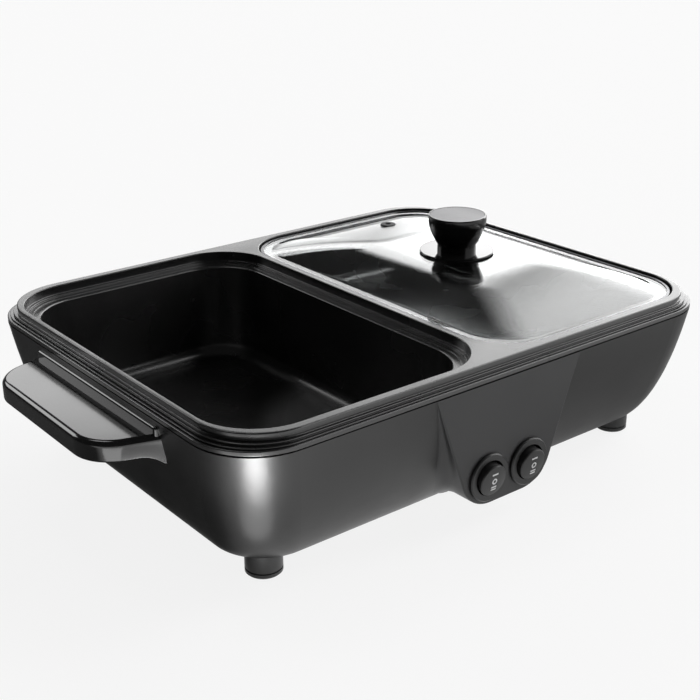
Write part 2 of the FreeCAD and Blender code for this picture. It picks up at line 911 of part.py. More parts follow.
def make_switch_body(sign):
    """The round bezel with its can, the well for the rocker and the two pivot holes."""
    x, z = switch_x(sign), switch_height
    front = front_plane - bezel_thickness
    edge = bezel_edge
    profile = [
        (0, 0), (can_radius, 0), (can_radius, can_depth + pod_wall),
        (bezel_radius, can_depth + pod_wall),
        (bezel_radius, can_depth + pod_wall + bezel_thickness - edge),
        (bezel_radius - edge, can_depth + pod_wall + bezel_thickness),
        (0, can_depth + pod_wall + bezel_thickness),
    ]
    back = front_plane + pod_wall + can_depth
    body = turned(profile, (x, back, z), "front")
    well_depth = bezel_thickness + pod_wall + can_depth - can_back
    well = rod(well_radius, (x, front - past, z), (0, 1, 0), past + well_depth)
    reach = pivot_reach + fit_gap
    pins = rod(pivot_radius + thread_gap, (x - reach, pivot_y(), z), (1, 0, 0), 2 * reach)
    return body.cut(well).cut(pins)


def make_rocker(sign):
    """The rocker: a round button with a crowned face on two pivot pins, its lower end pressed in."""
    x, y, z = switch_x(sign), pivot_y(), switch_height
    r, edge, face = rocker_radius, rocker_edge, rocker_face_height
    crown_radius = (r * r + rocker_crown ** 2) / (2 * rocker_crown)
    middle_x = 0.5 * r
    middle_h = face + rocker_crown - (crown_radius - math.sqrt(crown_radius ** 2 - middle_x ** 2))
    top = Vector(0, 0, face + rocker_crown)
    shoulder = Vector(r - edge, 0, face)
    side_top, side_foot = Vector(r, 0, face - edge), Vector(r, 0, -rocker_tail)
    corners = [shoulder, side_top, side_foot, Vector(0, 0, -rocker_tail), top]
    edges = [Part.Arc(top, Vector(middle_x, 0, middle_h), shoulder).toShape()]
    edges += [Part.LineSegment(a, b).toShape() for a, b in zip(corners, corners[1:])]
    button = Part.Face(Part.Wire(edges)).revolve(Vector(), UP, 360)
    button.rotate(Vector(), Vector(1, 0, 0), 90 + rocker_throw)
    button.translate(Vector(x, y, z))
    pins = rod(pivot_radius, (x - pivot_reach, y, z), (1, 0, 0), 2 * pivot_reach)
    return together([button, pins])


def make_switch_blades(sign):
    """The three flat terminals behind one switch."""
    back = front_plane + pod_wall + can_depth
    low = switch_height - blade_drop - blade_height / 2
    blades = []
    for step in (-1, 0, 1):
        x = switch_x(sign) + step * blade_spacing
        half = blade_thickness / 2
        blades.append(block((x - half, back, low), (x + half, back + blade_length, low + blade_height)))
    return group(blades)


# ---------------------------------------------------------------- handles

def handle_screw_places(sign):
    """Seats of the handle screws against the inside of the casing's end wall."""
    z = deck_height - handle_top_drop - handle_thickness / 2
    setback = end_setback_ratio * (casing_face_y(z) - front_plane)
    x = sign * (flange_half_x - setback - casing_wall - seat_pad_height)
    return [(x, step * handle_screw_spacing / 2, z) for step in (-1, 1)]


def handle_plan():
    """The tab of the left handle seen from above: wide at the root, round at the tip."""
    tip = -(flange_half_x + handle_reach)
    root = -(flange_half_x - handle_tuck)
    wide, narrow, r = handle_root_half_width, handle_tip_half_width, handle_corner_radius
    lean = math.atan2(wide - narrow, handle_reach)
    cx = tip + r
    cy = narrow + (cx - tip) * math.tan(lean) - r / math.cos(lean)
    straight = Vector(tip, cy, 0)
    tangent = Vector(cx - r * math.sin(lean), cy + r * math.cos(lean), 0)
    angle = math.pi / 2 + lean + (math.pi / 2 - lean) / 2
    middle = Vector(cx + r * math.cos(angle), cy + r * math.sin(angle), 0)
    root_point = Vector(root, tangent.y + (root - tangent.x) * math.tan(lean), 0)

    def other(point):
        return Vector(point.x, -point.y, point.z)

    return Part.Wire([
        Part.LineSegment(other(root_point), root_point).toShape(),
        Part.LineSegment(root_point, tangent).toShape(),
        Part.Arc(tangent, middle, straight).toShape(),
        Part.LineSegment(straight, other(straight)).toShape(),
        Part.Arc(other(straight), other(middle), other(tangent)).toShape(),
        Part.LineSegment(other(tangent), other(root_point)).toShape(),
    ])


def concave_strip(corner, run, rise, up, half_width):
    """The strip that fills an inside corner with a hollow sweep, along Y."""
    x, z = corner
    radius = (run * run + rise * rise) / (2 * rise)
    half_angle = math.atan2(rise, run)
    wall = Vector(x, 0, z + up * rise)
    floor = Vector(x - run, 0, z)
    middle = floor + Vector(radius * math.sin(half_angle), 0, up * radius * (1 - math.cos(half_angle)))
    inner = Vector(x + past, 0, z + up * rise)
    sunk = Vector(x + past, 0, z - up * past)
    low = Vector(x - run, 0, z - up * past)
    wire = Part.Wire([
        Part.Arc(wall, middle, floor).toShape(),
        Part.LineSegment(floor, low).toShape(),
        Part.LineSegment(low, sunk).toShape(),
        Part.LineSegment(sunk, inner).toShape(),
        Part.LineSegment(inner, wall).toShape(),
    ])
    strip = Part.Face(wire).extrude(Vector(0, 2 * half_width, 0))
    strip.translate(Vector(0, -half_width, 0))
    return strip


def make_left_handle(outside):
    """The left handle: a flat tab on a mounting flange that fits the casing's end."""
    top = deck_height - handle_top_drop
    bottom = top - handle_thickness
    tab = Part.Face(handle_plan()).extrude(UP * handle_thickness)
    tab.translate(Vector(0, 0, bottom))
    tab = round_edges(tab, handle_top_edge, at_height(top))
    tab = round_edges(tab, handle_bottom_edge, at_height(bottom))
    face_x = -(flange_half_x + handle_flange_proud)
    flange_top = deck_height - handle_flange_top_drop
    flange_low = bottom - handle_flange_drop
    half = handle_flange_half_width
    flange = block((face_x, -half, flange_low), (face_x + handle_tuck, half, flange_top))
    flange = round_edges(flange, handle_flange_edge, lambda edge: abs(edge.BoundBox.XMax - face_x) < 1e-6)
    sweep_half = handle_root_half_width - handle_sweep_inset
    sweep = concave_strip((face_x, top), handle_sweep_run, handle_sweep_rise, 1, sweep_half)
    flare = concave_strip((face_x, bottom), handle_flare_run, handle_flare_rise, -1, sweep_half)
    handle = together([tab, flange, sweep, flare]).cut(outside)
    for x, y, z in handle_screw_places(-1):
        start = (x + past, y, z)
        bore_depth = past + handle_screw_depth
        handle = handle.cut(rod(handle_screw_radius + thread_gap, start, (-1, 0, 0), bore_depth))
    return max(handle.Solids, key=lambda solid: solid.Volume)


def make_handle_screws():
    """The screws from inside the casing into both handles."""
    bite = handle_screw_depth - tip_gap
    return group([
        pan_head_screw(handle_screw, bite, seat, (sign, 0, 0))
        for sign in side.values()
        for seat in handle_screw_places(sign)
    ])


# ---------------------------------------------------------------- heating

def heater_path(sign, z):
    """The bent bar's middle line: a loop with its mouth at the back."""
    cx = sign * recess_centre_x
    w, l, r, m = heater_half_width, heater_half_length, heater_corner_radius, heater_mouth
    k = r * (1 - math.sqrt(0.5))

    def at(x, y):
        return Vector(cx + x, y, z)

    return Part.Wire([
        Part.LineSegment(at(-m, l), at(-w + r, l)).toShape(),
        Part.Arc(at(-w + r, l), at(-w + k, l - k), at(-w, l - r)).toShape(),
        Part.LineSegment(at(-w, l - r), at(-w, -l + r)).toShape(),
        Part.Arc(at(-w, -l + r), at(-w + k, -l + k), at(-w + r, -l)).toShape(),
        Part.LineSegment(at(-w + r, -l), at(w - r, -l)).toShape(),
        Part.Arc(at(w - r, -l), at(w - k, -l + k), at(w, -l + r)).toShape(),
        Part.LineSegment(at(w, -l + r), at(w, l - r)).toShape(),
        Part.Arc(at(w, l - r), at(w - k, l - k), at(w - r, l)).toShape(),
        Part.LineSegment(at(w - r, l), at(m, l)).toShape(),
    ])


def heater_height(underside):
    """Height of a heating bar's middle line."""
    return underside - heater_gap - heater_radius


def make_heater(sign, underside):
    """One tubular heating element."""
    return tube(heater_radius, heater_path(sign, heater_height(underside)))


def make_heater_pins(sign, underside):
    """The two cold pins at the mouth of one heating element."""
    y, z = heater_half_length, heater_height(underside)
    cx = sign * recess_centre_x
    return group([
        rod(heater_pin_radius, (cx + step * heater_mouth, y, z), (-step, 0, 0), heater_pin_length)
        for step in (-1, 1)
    ])


def make_pressure_bars(sign, underside):
    """The two flat bars that press one heating element against its basin."""
    top = bar_seat(underside)
    bars = []
    for x, y in bar_places(sign):
        bar = slab(bar_length / 2, bar_width / 2, bar_corner_radius, top - bar_thickness, top, (x, y))
        low = top - bar_thickness - past
        bars.append(bar.cut(rod(bar_screw_radius + hole_gap, (x, y, low), (0, 0, 1), through)))
    return group(bars)


def make_bar_screws():
    """The screws of all pressure bars."""
    screws = []
    for sign, underside in ((-1, pot_underside), (1, pan_underside)):
        seat = bar_seat(underside) - bar_thickness
        for x, y in bar_places(sign):
            screws.append(pan_head_screw(bar_screw, bar_screw_bite, (x, y, seat), (0, 0, 1)))
    return group(screws)


def make_thermostat(sign, underside):
    """A disc thermostat with two ears and two tabs, against the middle of one basin."""
    cx = sign * recess_centre_x
    body = rod(thermostat_radius, (cx, 0, underside - thermostat_height), (0, 0, 1), thermostat_height)
    ears = slab(thermostat_ear_length / 2, thermostat_ear_width / 2, thermostat_ear_radius,
                underside - thermostat_ear_thickness, underside, (cx, 0))
    low = underside - thermostat_height + thermostat_tab_rise
    reach = thermostat_radius + thermostat_tab_length
    tabs = []
    for step in (-1, 1):
        near, far = sorted((0.0, step * reach))
        x = cx + step * thermostat_tab_offset
        half = blade_thickness / 2
        tabs.append(block((x - half, near, low), (x + half, far, low + blade_height)))
    thermostat = together([body, ears] + tabs)
    for step in (-1, 1):
        x = cx + step * thermostat_screw_spacing / 2
        hole = rod(thermostat_screw_radius + hole_gap, (x, 0, underside - thermostat_ear_thickness - past),
                   (0, 0, 1), through)
        thermostat = thermostat.cut(hole)
    return thermostat


def make_thermostat_screws():
    """The short screws of both thermostats."""
    screws = []
    for sign, underside in ((-1, pot_underside), (1, pan_underside)):
        for step in (-1, 1):
            x = sign * recess_centre_x + step * thermostat_screw_spacing / 2
            seat = underside - thermostat_ear_thickness
            bite = thermostat_ear_thickness + thermostat_screw_bite
            screws.append(pan_head_screw(thermostat_screw, bite, (x, 0, seat), (0, 0, 1)))
    return group(screws)


def make_thermal_fuse(sign, underside):
    """A thermal fuse in its clip, between thermostat and pressure bar."""
    cx = sign * recess_centre_x
    y = fuse_offset
    z = underside - fuse_clip_thickness - fuse_radius
    body = rod(fuse_radius, (cx - fuse_length / 2, y, z), (1, 0, 0), fuse_length)
    leads = rod(fuse_lead_radius, (cx - fuse_length / 2 - fuse_lead_length, y, z), (1, 0, 0),
                fuse_length + 2 * fuse_lead_length)
    half, reach = fuse_clip_width / 2, fuse_clip_half_length
    wrap = rod(fuse_radius + fuse_clip_thickness, (cx - half, y, z), (1, 0, 0), fuse_clip_width)
    plate = block((cx - half, y - reach, underside - fuse_clip_thickness), (cx + half, y + reach, underside))
    return together([body, leads, wrap, plate])


def shield_top():
    """Height of the face of the shield's posts."""
    return pan_underside - shield_drop


def make_heat_shield():
    """The thin plate between the pan's heating element and the wires."""
    top = shield_top()
    plate = slab(shield_half_width, shield_half_length, shield_corner_radius,
                 top - shield_thickness, top, (recess_centre_x, 0))
    for x, y in shield_places():
        low = top - shield_thickness - past
        plate = plate.cut(rod(shield_screw_radius + hole_gap, (x, y, low), (0, 0, 1), through))
    return plate


def make_shield_screws():
    """The screws of the heat shield."""
    seat = shield_top() - shield_thickness
    return group([
        pan_head_screw(shield_screw, shield_screw_bite, (x, y, seat), (0, 0, 1)) for x, y in shield_places()
    ])


# ---------------------------------------------------------------- power inlet and terminal block

def upright_plate(half_x, half_z, radius, y_low, y_high):
    """A rounded plate that stands across Y, centred on the inlet."""
    plate = slab(half_x, half_z, radius, 0.0, y_high - y_low)
    plate.rotate(Vector(), Vector(1, 0, 0), -90)
    plate.translate(Vector(inlet_x(), y_low, inlet_height))
    return plate


def make_inlet_pod(outside):
    """The small box that brings the inlet out to an upright face at the back."""
    low = back_plane - base_setback - pod_tuck
    pod = upright_plate(inlet_pod_half_width, inlet_pod_half_height, inlet_pod_corner_radius, low, back_plane)
    hollow = upright_plate(inlet_pod_half_width - pod_wall, inlet_pod_half_height - pod_wall,
                           inlet_pod_corner_radius - pod_wall, low - past, back_plane - pod_wall)
    pod = pod.cut(hollow).cut(outside)
    window = upright_plate(inlet_body_width / 2 + inlet_window_gap, inlet_body_height / 2 + inlet_window_gap,
                           inlet_body_radius, back_plane - pod_wall - past, back_plane + past)
    pod = pod.cut(window)
    for step in (-1, 1):
        x = inlet_x() + step * inlet_screw_spacing / 2
        start = (x, back_plane - pod_tuck, inlet_height)
        pod = pod.cut(rod(screw_radius + thread_gap, start, (0, 1, 0), through))
    return max(pod.Solids, key=lambda solid: solid.Volume)


def make_power_inlet():
    """The inlet's moulding: flange, body and open socket."""
    flange = upright_plate(inlet_flange_width / 2, inlet_flange_height / 2, inlet_flange_radius,
                           back_plane, back_plane + inlet_flange_thickness)
    body = upright_plate(inlet_body_width / 2, inlet_body_height / 2, inlet_body_radius,
                         back_plane - inlet_body_depth, back_plane)
    socket = upright_plate(inlet_socket_width / 2, inlet_socket_height / 2, inlet_socket_radius,
                           back_plane + inlet_flange_thickness - inlet_socket_depth,
                           back_plane + inlet_flange_thickness + past)
    inlet = together([flange, body]).cut(socket)
    for step in (-1, 1):
        x = inlet_x() + step * inlet_screw_spacing / 2
        start = (x, back_plane - past, inlet_height)
        inlet = inlet.cut(rod(screw_radius + hole_gap, start, (0, 1, 0), through))
    for low, high in inlet_pin_boxes():
        inlet = inlet.cut(block(low, high))
    return inlet


def inlet_pin_boxes():
    """Opposite corners of the three upright inlet pins."""
    floor = back_plane + inlet_flange_thickness - inlet_socket_depth
    front = floor + inlet_pin_inside
    tail = back_plane - inlet_body_depth - inlet_pin_tail
    boxes = []
    for step, rise in ((-1, 0.0), (0, inlet_pin_rise), (1, 0.0)):
        x = inlet_x() + step * inlet_pin_spacing / 2
        z = inlet_height + rise - inlet_pin_rise / 2
        half_w, half_t = inlet_pin_width / 2, inlet_pin_thickness / 2
        boxes.append(((x - half_t, tail, z - half_w), (x + half_t, front, z + half_w)))
    return boxes


def make_inlet_pins():
    """The three pins of the inlet."""
    return group([block(low, high) for low, high in inlet_pin_boxes()])


def make_inlet_screws():
    """The two screws of the inlet's flange."""
    seat_y = back_plane + inlet_flange_thickness
    bite = inlet_flange_thickness + pod_wall + inlet_screw_tail
    places = [inlet_x() + step * inlet_screw_spacing / 2 for step in (-1, 1)]
    return group([pan_head_screw(small_screw, bite, (x, seat_y, inlet_height), (0, -1, 0)) for x in places])


def block_place():
    """Plan place of the terminal block under the heat shield."""
    return recess_centre_x, block_y


def make_terminal_block():
    """The terminal block with its wire holes, standing on the bottom cover."""
    x, y = block_place()
    top = cover_top + block_height
    solid = slab(block_length / 2, block_width / 2, block_corner_radius, cover_top, top, (x, y))
    for index in range(block_ways):
        start = (way_x(index), y - block_width, cover_top + block_way_height)
        solid = solid.cut(rod(block_way_radius, start, (0, 1, 0), 2 * block_width))
    bore_depth = past + block_screw_bite + tip_gap
    return solid.cut(rod(block_screw_radius + thread_gap, (x, y, cover_top - past), (0, 0, 1), bore_depth))


def make_block_screw():
    """The screw up through the bottom cover into the terminal block."""
    x, y = block_place()
    bite = cover_thickness + block_screw_bite
    return pan_head_screw(block_screw, bite, (x, y, base_height), (0, 0, 1))


def way_x(index):
    """Where one way of the terminal block lies."""
    return block_place()[0] + (index - (block_ways - 1) / 2) * block_length / block_ways


def make_wiring():
    """Wires from the inlet's pins and the switches to the terminal block."""
    way_z = cover_top + block_way_height - wire_sink
    run_z = cover_top + wire_run_height
    paths = []
    pin_end = back_plane - inlet_body_depth - inlet_pin_tail
    way_end = block_y + block_width / 2 - wire_entry
    for index, (low, high) in enumerate(inlet_pin_boxes()):
        pin_x, pin_z = (low[0] + high[0]) / 2, (low[2] + high[2]) / 2
        paths.append([
            (pin_x, pin_end, pin_z), (pin_x, pin_end - wire_lead, pin_z),
            (way_x(index), way_end + wire_drop_run, way_z), (way_x(index), way_end, way_z),
        ])
    blade_end = front_plane + pod_wall + can_depth + blade_length
    blade_z = switch_height - blade_drop
    way_end = block_y - block_width / 2 + wire_entry
    for index, sign in enumerate(side.values()):
        x = switch_x(sign) + blade_spacing
        paths.append([
            (x, blade_end, blade_z), (x, blade_end + wire_lead, blade_z),
            (recess_centre_x - wire_run_offset[index], blade_end + wire_run_reach[index], run_z),
            (way_x(index), way_end - wire_straight, way_z), (way_x(index), way_end, way_z),
        ])
    return group([tube(wire_radius, bent_path(points)) for points in paths])


# ---------------------------------------------------------------- lid

def lid_outline(inset, z):
    """The outline of the lid at one inset from the recess's wall."""
    return rounded_rectangle(recess_half_x - inset, recess_half_y - inset, recess_corner_radius - inset,
                             (recess_centre_x, 0), z)


def lid_plate(inset, low, high):
    """A plate with the lid's outline."""
    return Part.Face(lid_outline(inset, low)).extrude(UP * (high - low))


def lid_foot():
    """Height of the lid rim's underside, just over the upper ledge."""
    return deck_height - upper_ledge_depth + lid_rest_gap


def glass_bottom():
    """Height of the underside of the glass margin."""
    return lid_foot() + lid_rim_sheet + glass_edge_gap / 2


def glass_top():
    """Height of the top of the glass margin."""
    return glass_bottom() + lid_glass_thickness


def crown_height():
    """Height of the flat top of the dome."""
    return glass_top() + dome_rise


def make_lid_rim():
    """The steel channel round the edge of the glass."""
    low = lid_foot()
    high = glass_top() + glass_edge_gap / 2 + lid_rim_sheet
    outer = lid_gap
    inner = lid_gap + lid_rim_sheet
    rim = lid_plate(outer, low, high).cut(lid_plate(inner, low + lid_rim_sheet, high - lid_rim_sheet))
    return rim.cut(lid_plate(outer + lid_rim_width, low - past, high + past))


def dome(z):
    """The dome over the glass margin, with its foot at one height."""
    sections = []
    for share, rise in dome_shares:
        scale = 1 - share
        half_x = (recess_half_x - glass_margin) * scale
        half_y = (recess_half_y - glass_margin) * scale
        radius = (recess_corner_radius - glass_margin + dome_corner_gain) * scale
        sections.append(rounded_rectangle(half_x, half_y, radius, (recess_centre_x, 0), z + rise * dome_rise))
    return Part.makeLoft(sections, True, False)


def make_lid_glass():
    """The domed glass with its holes for the knob's screw and the steam vent."""
    inset = lid_gap + lid_rim_sheet + glass_edge_gap
    plate = lid_plate(inset, glass_bottom(), glass_top())
    glass = together([plate, dome(glass_top())]).cut(dome(glass_bottom()))
    glass = glass.cut(rod(lid_hole_radius, (knob_x(), 0, glass_bottom()), (0, 0, 1), through))
    x, y = vent_place()
    return glass.cut(rod(vent_hole_radius, (x, y, glass_bottom()), (0, 0, 1), through))


def vent_place():
    """Plan place of the steam vent."""
    return recess_centre_x + vent_x_from_centre, vent_y


def dome_height_over(x, y, foot):
    """Height of the dome's surface over a plan place, found by cutting it with a line."""
    line = Part.LineSegment(Vector(x, y, foot - past), Vector(x, y, foot + through)).toShape()
    return line.common(dome(foot)).BoundBox.ZMax


def make_vent_grommet(glass):
    """The flanged ring of the steam vent, clipped through the glass and shaped to its slope."""
    x, y = vent_place()
    top = dome_height_over(x, y, glass_top())
    low = dome_height_over(x, y, glass_bottom())
    r, bore = grommet_radius, grommet_bore_radius
    neck, step = vent_hole_radius - fit_gap, grommet_step
    profile = [
        (bore, low - grommet_flange), (r - step, low - grommet_flange), (r - step, low), (neck, low),
        (neck, top), (r, top), (r, top + grommet_flange / 2), (r - step, top + grommet_flange),
        (bore, top + grommet_flange),
    ]
    ring = turned(profile, (x, y, 0)).cut(glass)
    return max(ring.Solids, key=lambda solid: solid.Volume)


def knob_x():
    """The knob sits a little beside the middle of the glass."""
    return recess_centre_x + knob_shift


def knob_base():
    """Height of the top of the knob's disc."""
    return crown_height() + knob_seal_thickness + knob_disc_thickness


def make_knob_seal():
    """The thin black seal between glass and disc."""
    z = crown_height()
    outer = rod(knob_seal_radius, (knob_x(), 0, z), (0, 0, 1), knob_seal_thickness)
    return outer.cut(rod(lid_hole_radius, (knob_x(), 0, z - past), (0, 0, 1), through))


def make_knob_disc():
    """The gloss disc under the knob."""
    z = crown_height() + knob_seal_thickness
    r, edge, t = knob_disc_radius, knob_disc_edge, knob_disc_thickness
    hole = lid_screw_radius + hole_gap
    profile = [(hole, 0), (r, 0), (r, t - edge), (r - edge, t), (hole, t)]
    return turned(profile, (knob_x(), 0, z))


def make_lid_knob():
    """The knob: a short neck, a groove and a round-bellied bowl with a recess for its cap."""
    centre = Vector(knob_x(), 0, knob_base())
    top = knob_height
    groove_top = knob_neck_height + knob_groove_height

    def at(radius, height):
        return Vector(radius, 0, height)

    belly_radius = (knob_neck_radius + knob_bulge_radius) / 2 + knob_belly
    belly_height = (groove_top + knob_bulge_height) / 2 - 2 * knob_belly
    lip_height = top - 2 * knob_rim_edge
    flare = Part.BSplineCurve()
    flare.interpolate([
        at(knob_neck_radius, groove_top), at(belly_radius, belly_height),
        at(knob_bulge_radius, knob_bulge_height), at(knob_top_radius, lip_height),
    ])
    corners = [
        at(knob_top_radius, lip_height), at(knob_top_radius - knob_rim_edge, top), at(knob_rim_radius, top),
        at(knob_rim_radius, top - knob_cap_recess), at(0, top - knob_cap_recess), at(0, 0),
        at(knob_neck_radius, 0), at(knob_neck_radius, knob_neck_height),
        at(knob_groove_radius, knob_neck_height + knob_groove_slope),
        at(knob_groove_radius, groove_top - knob_groove_slope),
        at(knob_neck_radius, groove_top),
    ]
    edges = [flare.toShape()]
    edges += [Part.LineSegment(a, b).toShape() for a, b in zip(corners, corners[1:])]
    knob = Part.Face(Part.Wire(edges)).revolve(Vector(), UP, 360)
    knob.translate(centre)
    bore = lid_screw_radius + thread_gap
    return knob.cut(rod(bore, (centre.x, 0, centre.z - past), (0, 0, 1), past + knob_bore_depth))


def make_knob_cap():
    """The brushed metal disc let into the top of the knob."""
    z = knob_base() + knob_height - knob_cap_recess
    r = knob_rim_radius - knob_cap_gap
    edge, top = knob_cap_edge, knob_cap_thickness
    profile = [(0, 0), (r, 0), (r, top - edge), (r - edge, top), (0, top)]
    return turned(profile, (knob_x(), 0, z))


def make_lid_washer():
    """The washer under the glass."""
    z = crown_height() - lid_glass_thickness
    washer = rod(lid_washer_radius, (knob_x(), 0, z - lid_washer_thickness), (0, 0, 1), lid_washer_thickness)
    low = z - lid_washer_thickness - past
    return washer.cut(rod(lid_screw_radius + hole_gap, (knob_x(), 0, low), (0, 0, 1), through))


def make_lid_screw():
    """The screw up through washer, glass, seal and disc into the knob."""
    z = crown_height() - lid_glass_thickness - lid_washer_thickness
    bite = knob_base() - z + knob_bore_depth - tip_gap
    return pan_head_screw(lid_screw, bite, (knob_x(), 0, z), (0, 0, 1))


# ---------------------------------------------------------------- all the nodes

def build():
    """Every node by name."""
    outside = casing_solid()
    left_handle = make_left_handle(outside)
    glass = make_lid_glass()
    nodes = {
        "cooking_tray": make_cooking_tray(),
        "tray_gasket": make_tray_gasket(),
        "casing": make_casing(outside),
        "bottom_cover": make_bottom_cover(),
        "control_pod": make_control_pod(outside),
        "left_handle": left_handle,
        "right_handle": mirrored(left_handle),
        "handle_screws": make_handle_screws(),
        "foot_screws": make_foot_screws(),
        "cover_screws": make_cover_screws(),
        "tie_screws": make_tie_screws(),
        "pod_screws": make_pod_screws(),
        "bar_screws": make_bar_screws(),
        "thermostat_screws": make_thermostat_screws(),
        "heat_shield": make_heat_shield(),
        "shield_screws": make_shield_screws(),
        "inlet_pod": make_inlet_pod(outside),
        "power_inlet": make_power_inlet(),
        "inlet_pins": make_inlet_pins(),
        "inlet_screws": make_inlet_screws(),
        "wiring": make_wiring(),
        "terminal_block": make_terminal_block(),
        "terminal_block_screw": make_block_screw(),
        "lid_glass": glass,
        "lid_rim": make_lid_rim(),
        "vent_grommet": make_vent_grommet(glass),
        "knob_seal": make_knob_seal(),
        "knob_disc": make_knob_disc(),
        "lid_knob": make_lid_knob(),
        "knob_cap": make_knob_cap(),
        "lid_washer": make_lid_washer(),
        "lid_screw": make_lid_screw(),
    }
    for name, place in foot_places().items():
        nodes["foot_" + name] = make_foot(place, outside)
    for name, sign in side.items():
        nodes[name + "_switch_body"] = make_switch_body(sign)
        nodes[name + "_rocker"] = make_rocker(sign)
        nodes[name + "_switch_blades"] = make_switch_blades(sign)
    for name, sign, underside in (("pot", -1, pot_underside), ("pan", 1, pan_underside)):
        nodes[name + "_heater"] = make_heater(sign, underside)
        nodes[name + "_heater_pins"] = make_heater_pins(sign, underside)
        nodes[name + "_pressure_bars"] = make_pressure_bars(sign, underside)
        nodes[name + "_thermostat"] = make_thermostat(sign, underside)
        nodes[name + "_thermal_fuse"] = make_thermal_fuse(sign, underside)
    return nodes


os.makedirs("parts", exist_ok=True)
for node, shape in build().items():
    shape.exportStep("parts/" + node + ".step")
    print(node, len(shape.Solids), "solids", round(shape.Volume / 1000, 2), "cm3", shape.isValid())
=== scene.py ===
"""Looks of a two-basin electric hot pot with a loose glass lid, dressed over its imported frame.

Sizes in the classes are millimetres; every mesh is written in metres in the frame's own coordinates.
"""

import logging
import math
from dataclasses import dataclass
from enum import Enum
from typing import Iterable, Sequence

import bmesh
import bpy
from mathutils import Matrix, Vector
from mathutils.geometry import tessellate_polygon


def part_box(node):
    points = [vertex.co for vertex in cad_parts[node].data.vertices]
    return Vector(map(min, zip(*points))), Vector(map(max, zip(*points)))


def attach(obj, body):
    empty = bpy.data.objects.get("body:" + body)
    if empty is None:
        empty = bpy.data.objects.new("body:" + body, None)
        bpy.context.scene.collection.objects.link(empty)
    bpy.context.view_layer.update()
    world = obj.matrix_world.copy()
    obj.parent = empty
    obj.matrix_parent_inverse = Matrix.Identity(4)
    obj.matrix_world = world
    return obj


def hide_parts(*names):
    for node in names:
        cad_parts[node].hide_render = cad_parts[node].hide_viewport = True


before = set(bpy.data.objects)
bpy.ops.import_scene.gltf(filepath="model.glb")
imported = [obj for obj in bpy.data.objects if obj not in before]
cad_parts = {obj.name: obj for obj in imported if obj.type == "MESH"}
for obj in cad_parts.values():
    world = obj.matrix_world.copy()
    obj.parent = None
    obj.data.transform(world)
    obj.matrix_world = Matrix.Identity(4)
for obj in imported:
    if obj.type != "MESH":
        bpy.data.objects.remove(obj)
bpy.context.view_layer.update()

log = logging.getLogger("hot_pot")
MM = 0.001
Colour = tuple[float, float, float]
Profile = list[tuple[float, float]]
Point = tuple[float, float, float]
Row = list[bmesh.types.BMVert]
Socket = bpy.types.NodeSocket
Sockets = bpy.types.bpy_prop_collection
Inputs = dict[str | int, object]
# The sides of the object, as the sign of x and a name.
SIDES = ((-1, "left"), (1, "right"))
# Points closer than this, in metres, become one; an edge sharper than this, in degrees, stays sharp.
SEAM = 2e-6
CREASE = 35.0
# Along its direction, brushed grain changes at this share of the pace across it.
# The haze's noise mostly lies in this range.
BRUSHED = 0.04
HAZE_RANGE = (0.3, 0.7)


# ---- shader helpers


class Nodes:
    """A node tree with short calls for adding its nodes."""

    def __init__(self, tree: bpy.types.NodeTree) -> None:
        """Takes over a shader or geometry tree."""
        self.tree = tree
        self.entry: Sockets | None = None

    def feed(self, target: Socket, value: object) -> None:
        """Gives an input its value.

        Args:
            target: the input.
            value: a socket that is linked to it, or a plain value that it is set to.
        """
        if isinstance(value, bpy.types.NodeSocket):
            self.tree.links.new(value, target)
        else:
            target.default_value = value

    def feed_all(self, targets: Sockets, values: Inputs) -> None:
        """Gives each named or numbered input its value."""
        for key, value in values.items():
            self.feed(targets[key], value)

    def add(self, kind: str, inputs: Inputs | None = None, **settings: object) -> bpy.types.Node:
        """Adds one node.

        Args:
            kind: the node's type name.
            inputs: a socket or a plain value for each input that is set, by its name or number.
            settings: properties of the node by name.

        Returns:
            The new node.
        """
        node = self.tree.nodes.new(kind)
        for name, value in settings.items():
            setattr(node, name, value)
        self.feed_all(node.inputs, inputs or {})
        return node

    def out(self, kind: str, inputs: Inputs | None = None, **settings: object) -> Socket:
        """Adds one node and returns its first output."""
        return self.add(kind, inputs, **settings).outputs[0]

    def math(self, operation: str, first: object, second: object = 0.0) -> Socket:
        """Adds a math node on sockets or numbers and returns its result."""
        return self.out("ShaderNodeMath", {0: first, 1: second}, operation=operation)

    def times(self, first: object, second: object) -> Socket:
        """Adds a product of sockets or numbers and returns it."""
        return self.math("MULTIPLY", first, second)

    def vector(self, **parts: object) -> Socket:
        """Adds a vector from its parts X, Y and Z and returns it."""
        return self.out("ShaderNodeCombineXYZ", parts)

    def step(self, value: Socket, start: object, end: object) -> Socket:
        """Adds a smooth step from 0 at one value to 1 at another and returns it."""
        limits = {"Value": value, "From Min": start, "From Max": end}
        return self.out("ShaderNodeMapRange", limits, interpolation_type="SMOOTHSTEP")


class TreeKind(Enum):
    """What a node group is for, as the start of its type's name."""

    SHADER = "Shader"
    GEOMETRY = "Geometry"


def new_group(name: str, kind: TreeKind, inputs: Iterable[tuple[str, str, object]],
              outputs: Iterable[str]) -> Nodes:
    """Starts a node group.

    Args:
        name: its name.
        kind: what it is for.
        inputs: each input's name, socket kind and value, None where its own value stays.
        outputs: each output's name; they are numbers in a shader and geometry in a geometry tree.

    Returns:
        Its nodes, with its inputs at hand as `entry`.
    """
    tree = bpy.data.node_groups.new(name, kind.value + "NodeTree")
    for label, socket_kind, value in inputs:
        socket = tree.interface.new_socket(label, in_out="INPUT", socket_type="NodeSocket" + socket_kind)
        if value is not None:
            socket.default_value = value
    made = "NodeSocketFloat" if kind is TreeKind.SHADER else "NodeSocketGeometry"
    for label in outputs:
        tree.interface.new_socket(label, in_out="OUTPUT", socket_type=made)
    nodes = Nodes(tree)
    nodes.entry = nodes.add("NodeGroupInput").outputs
    return nodes


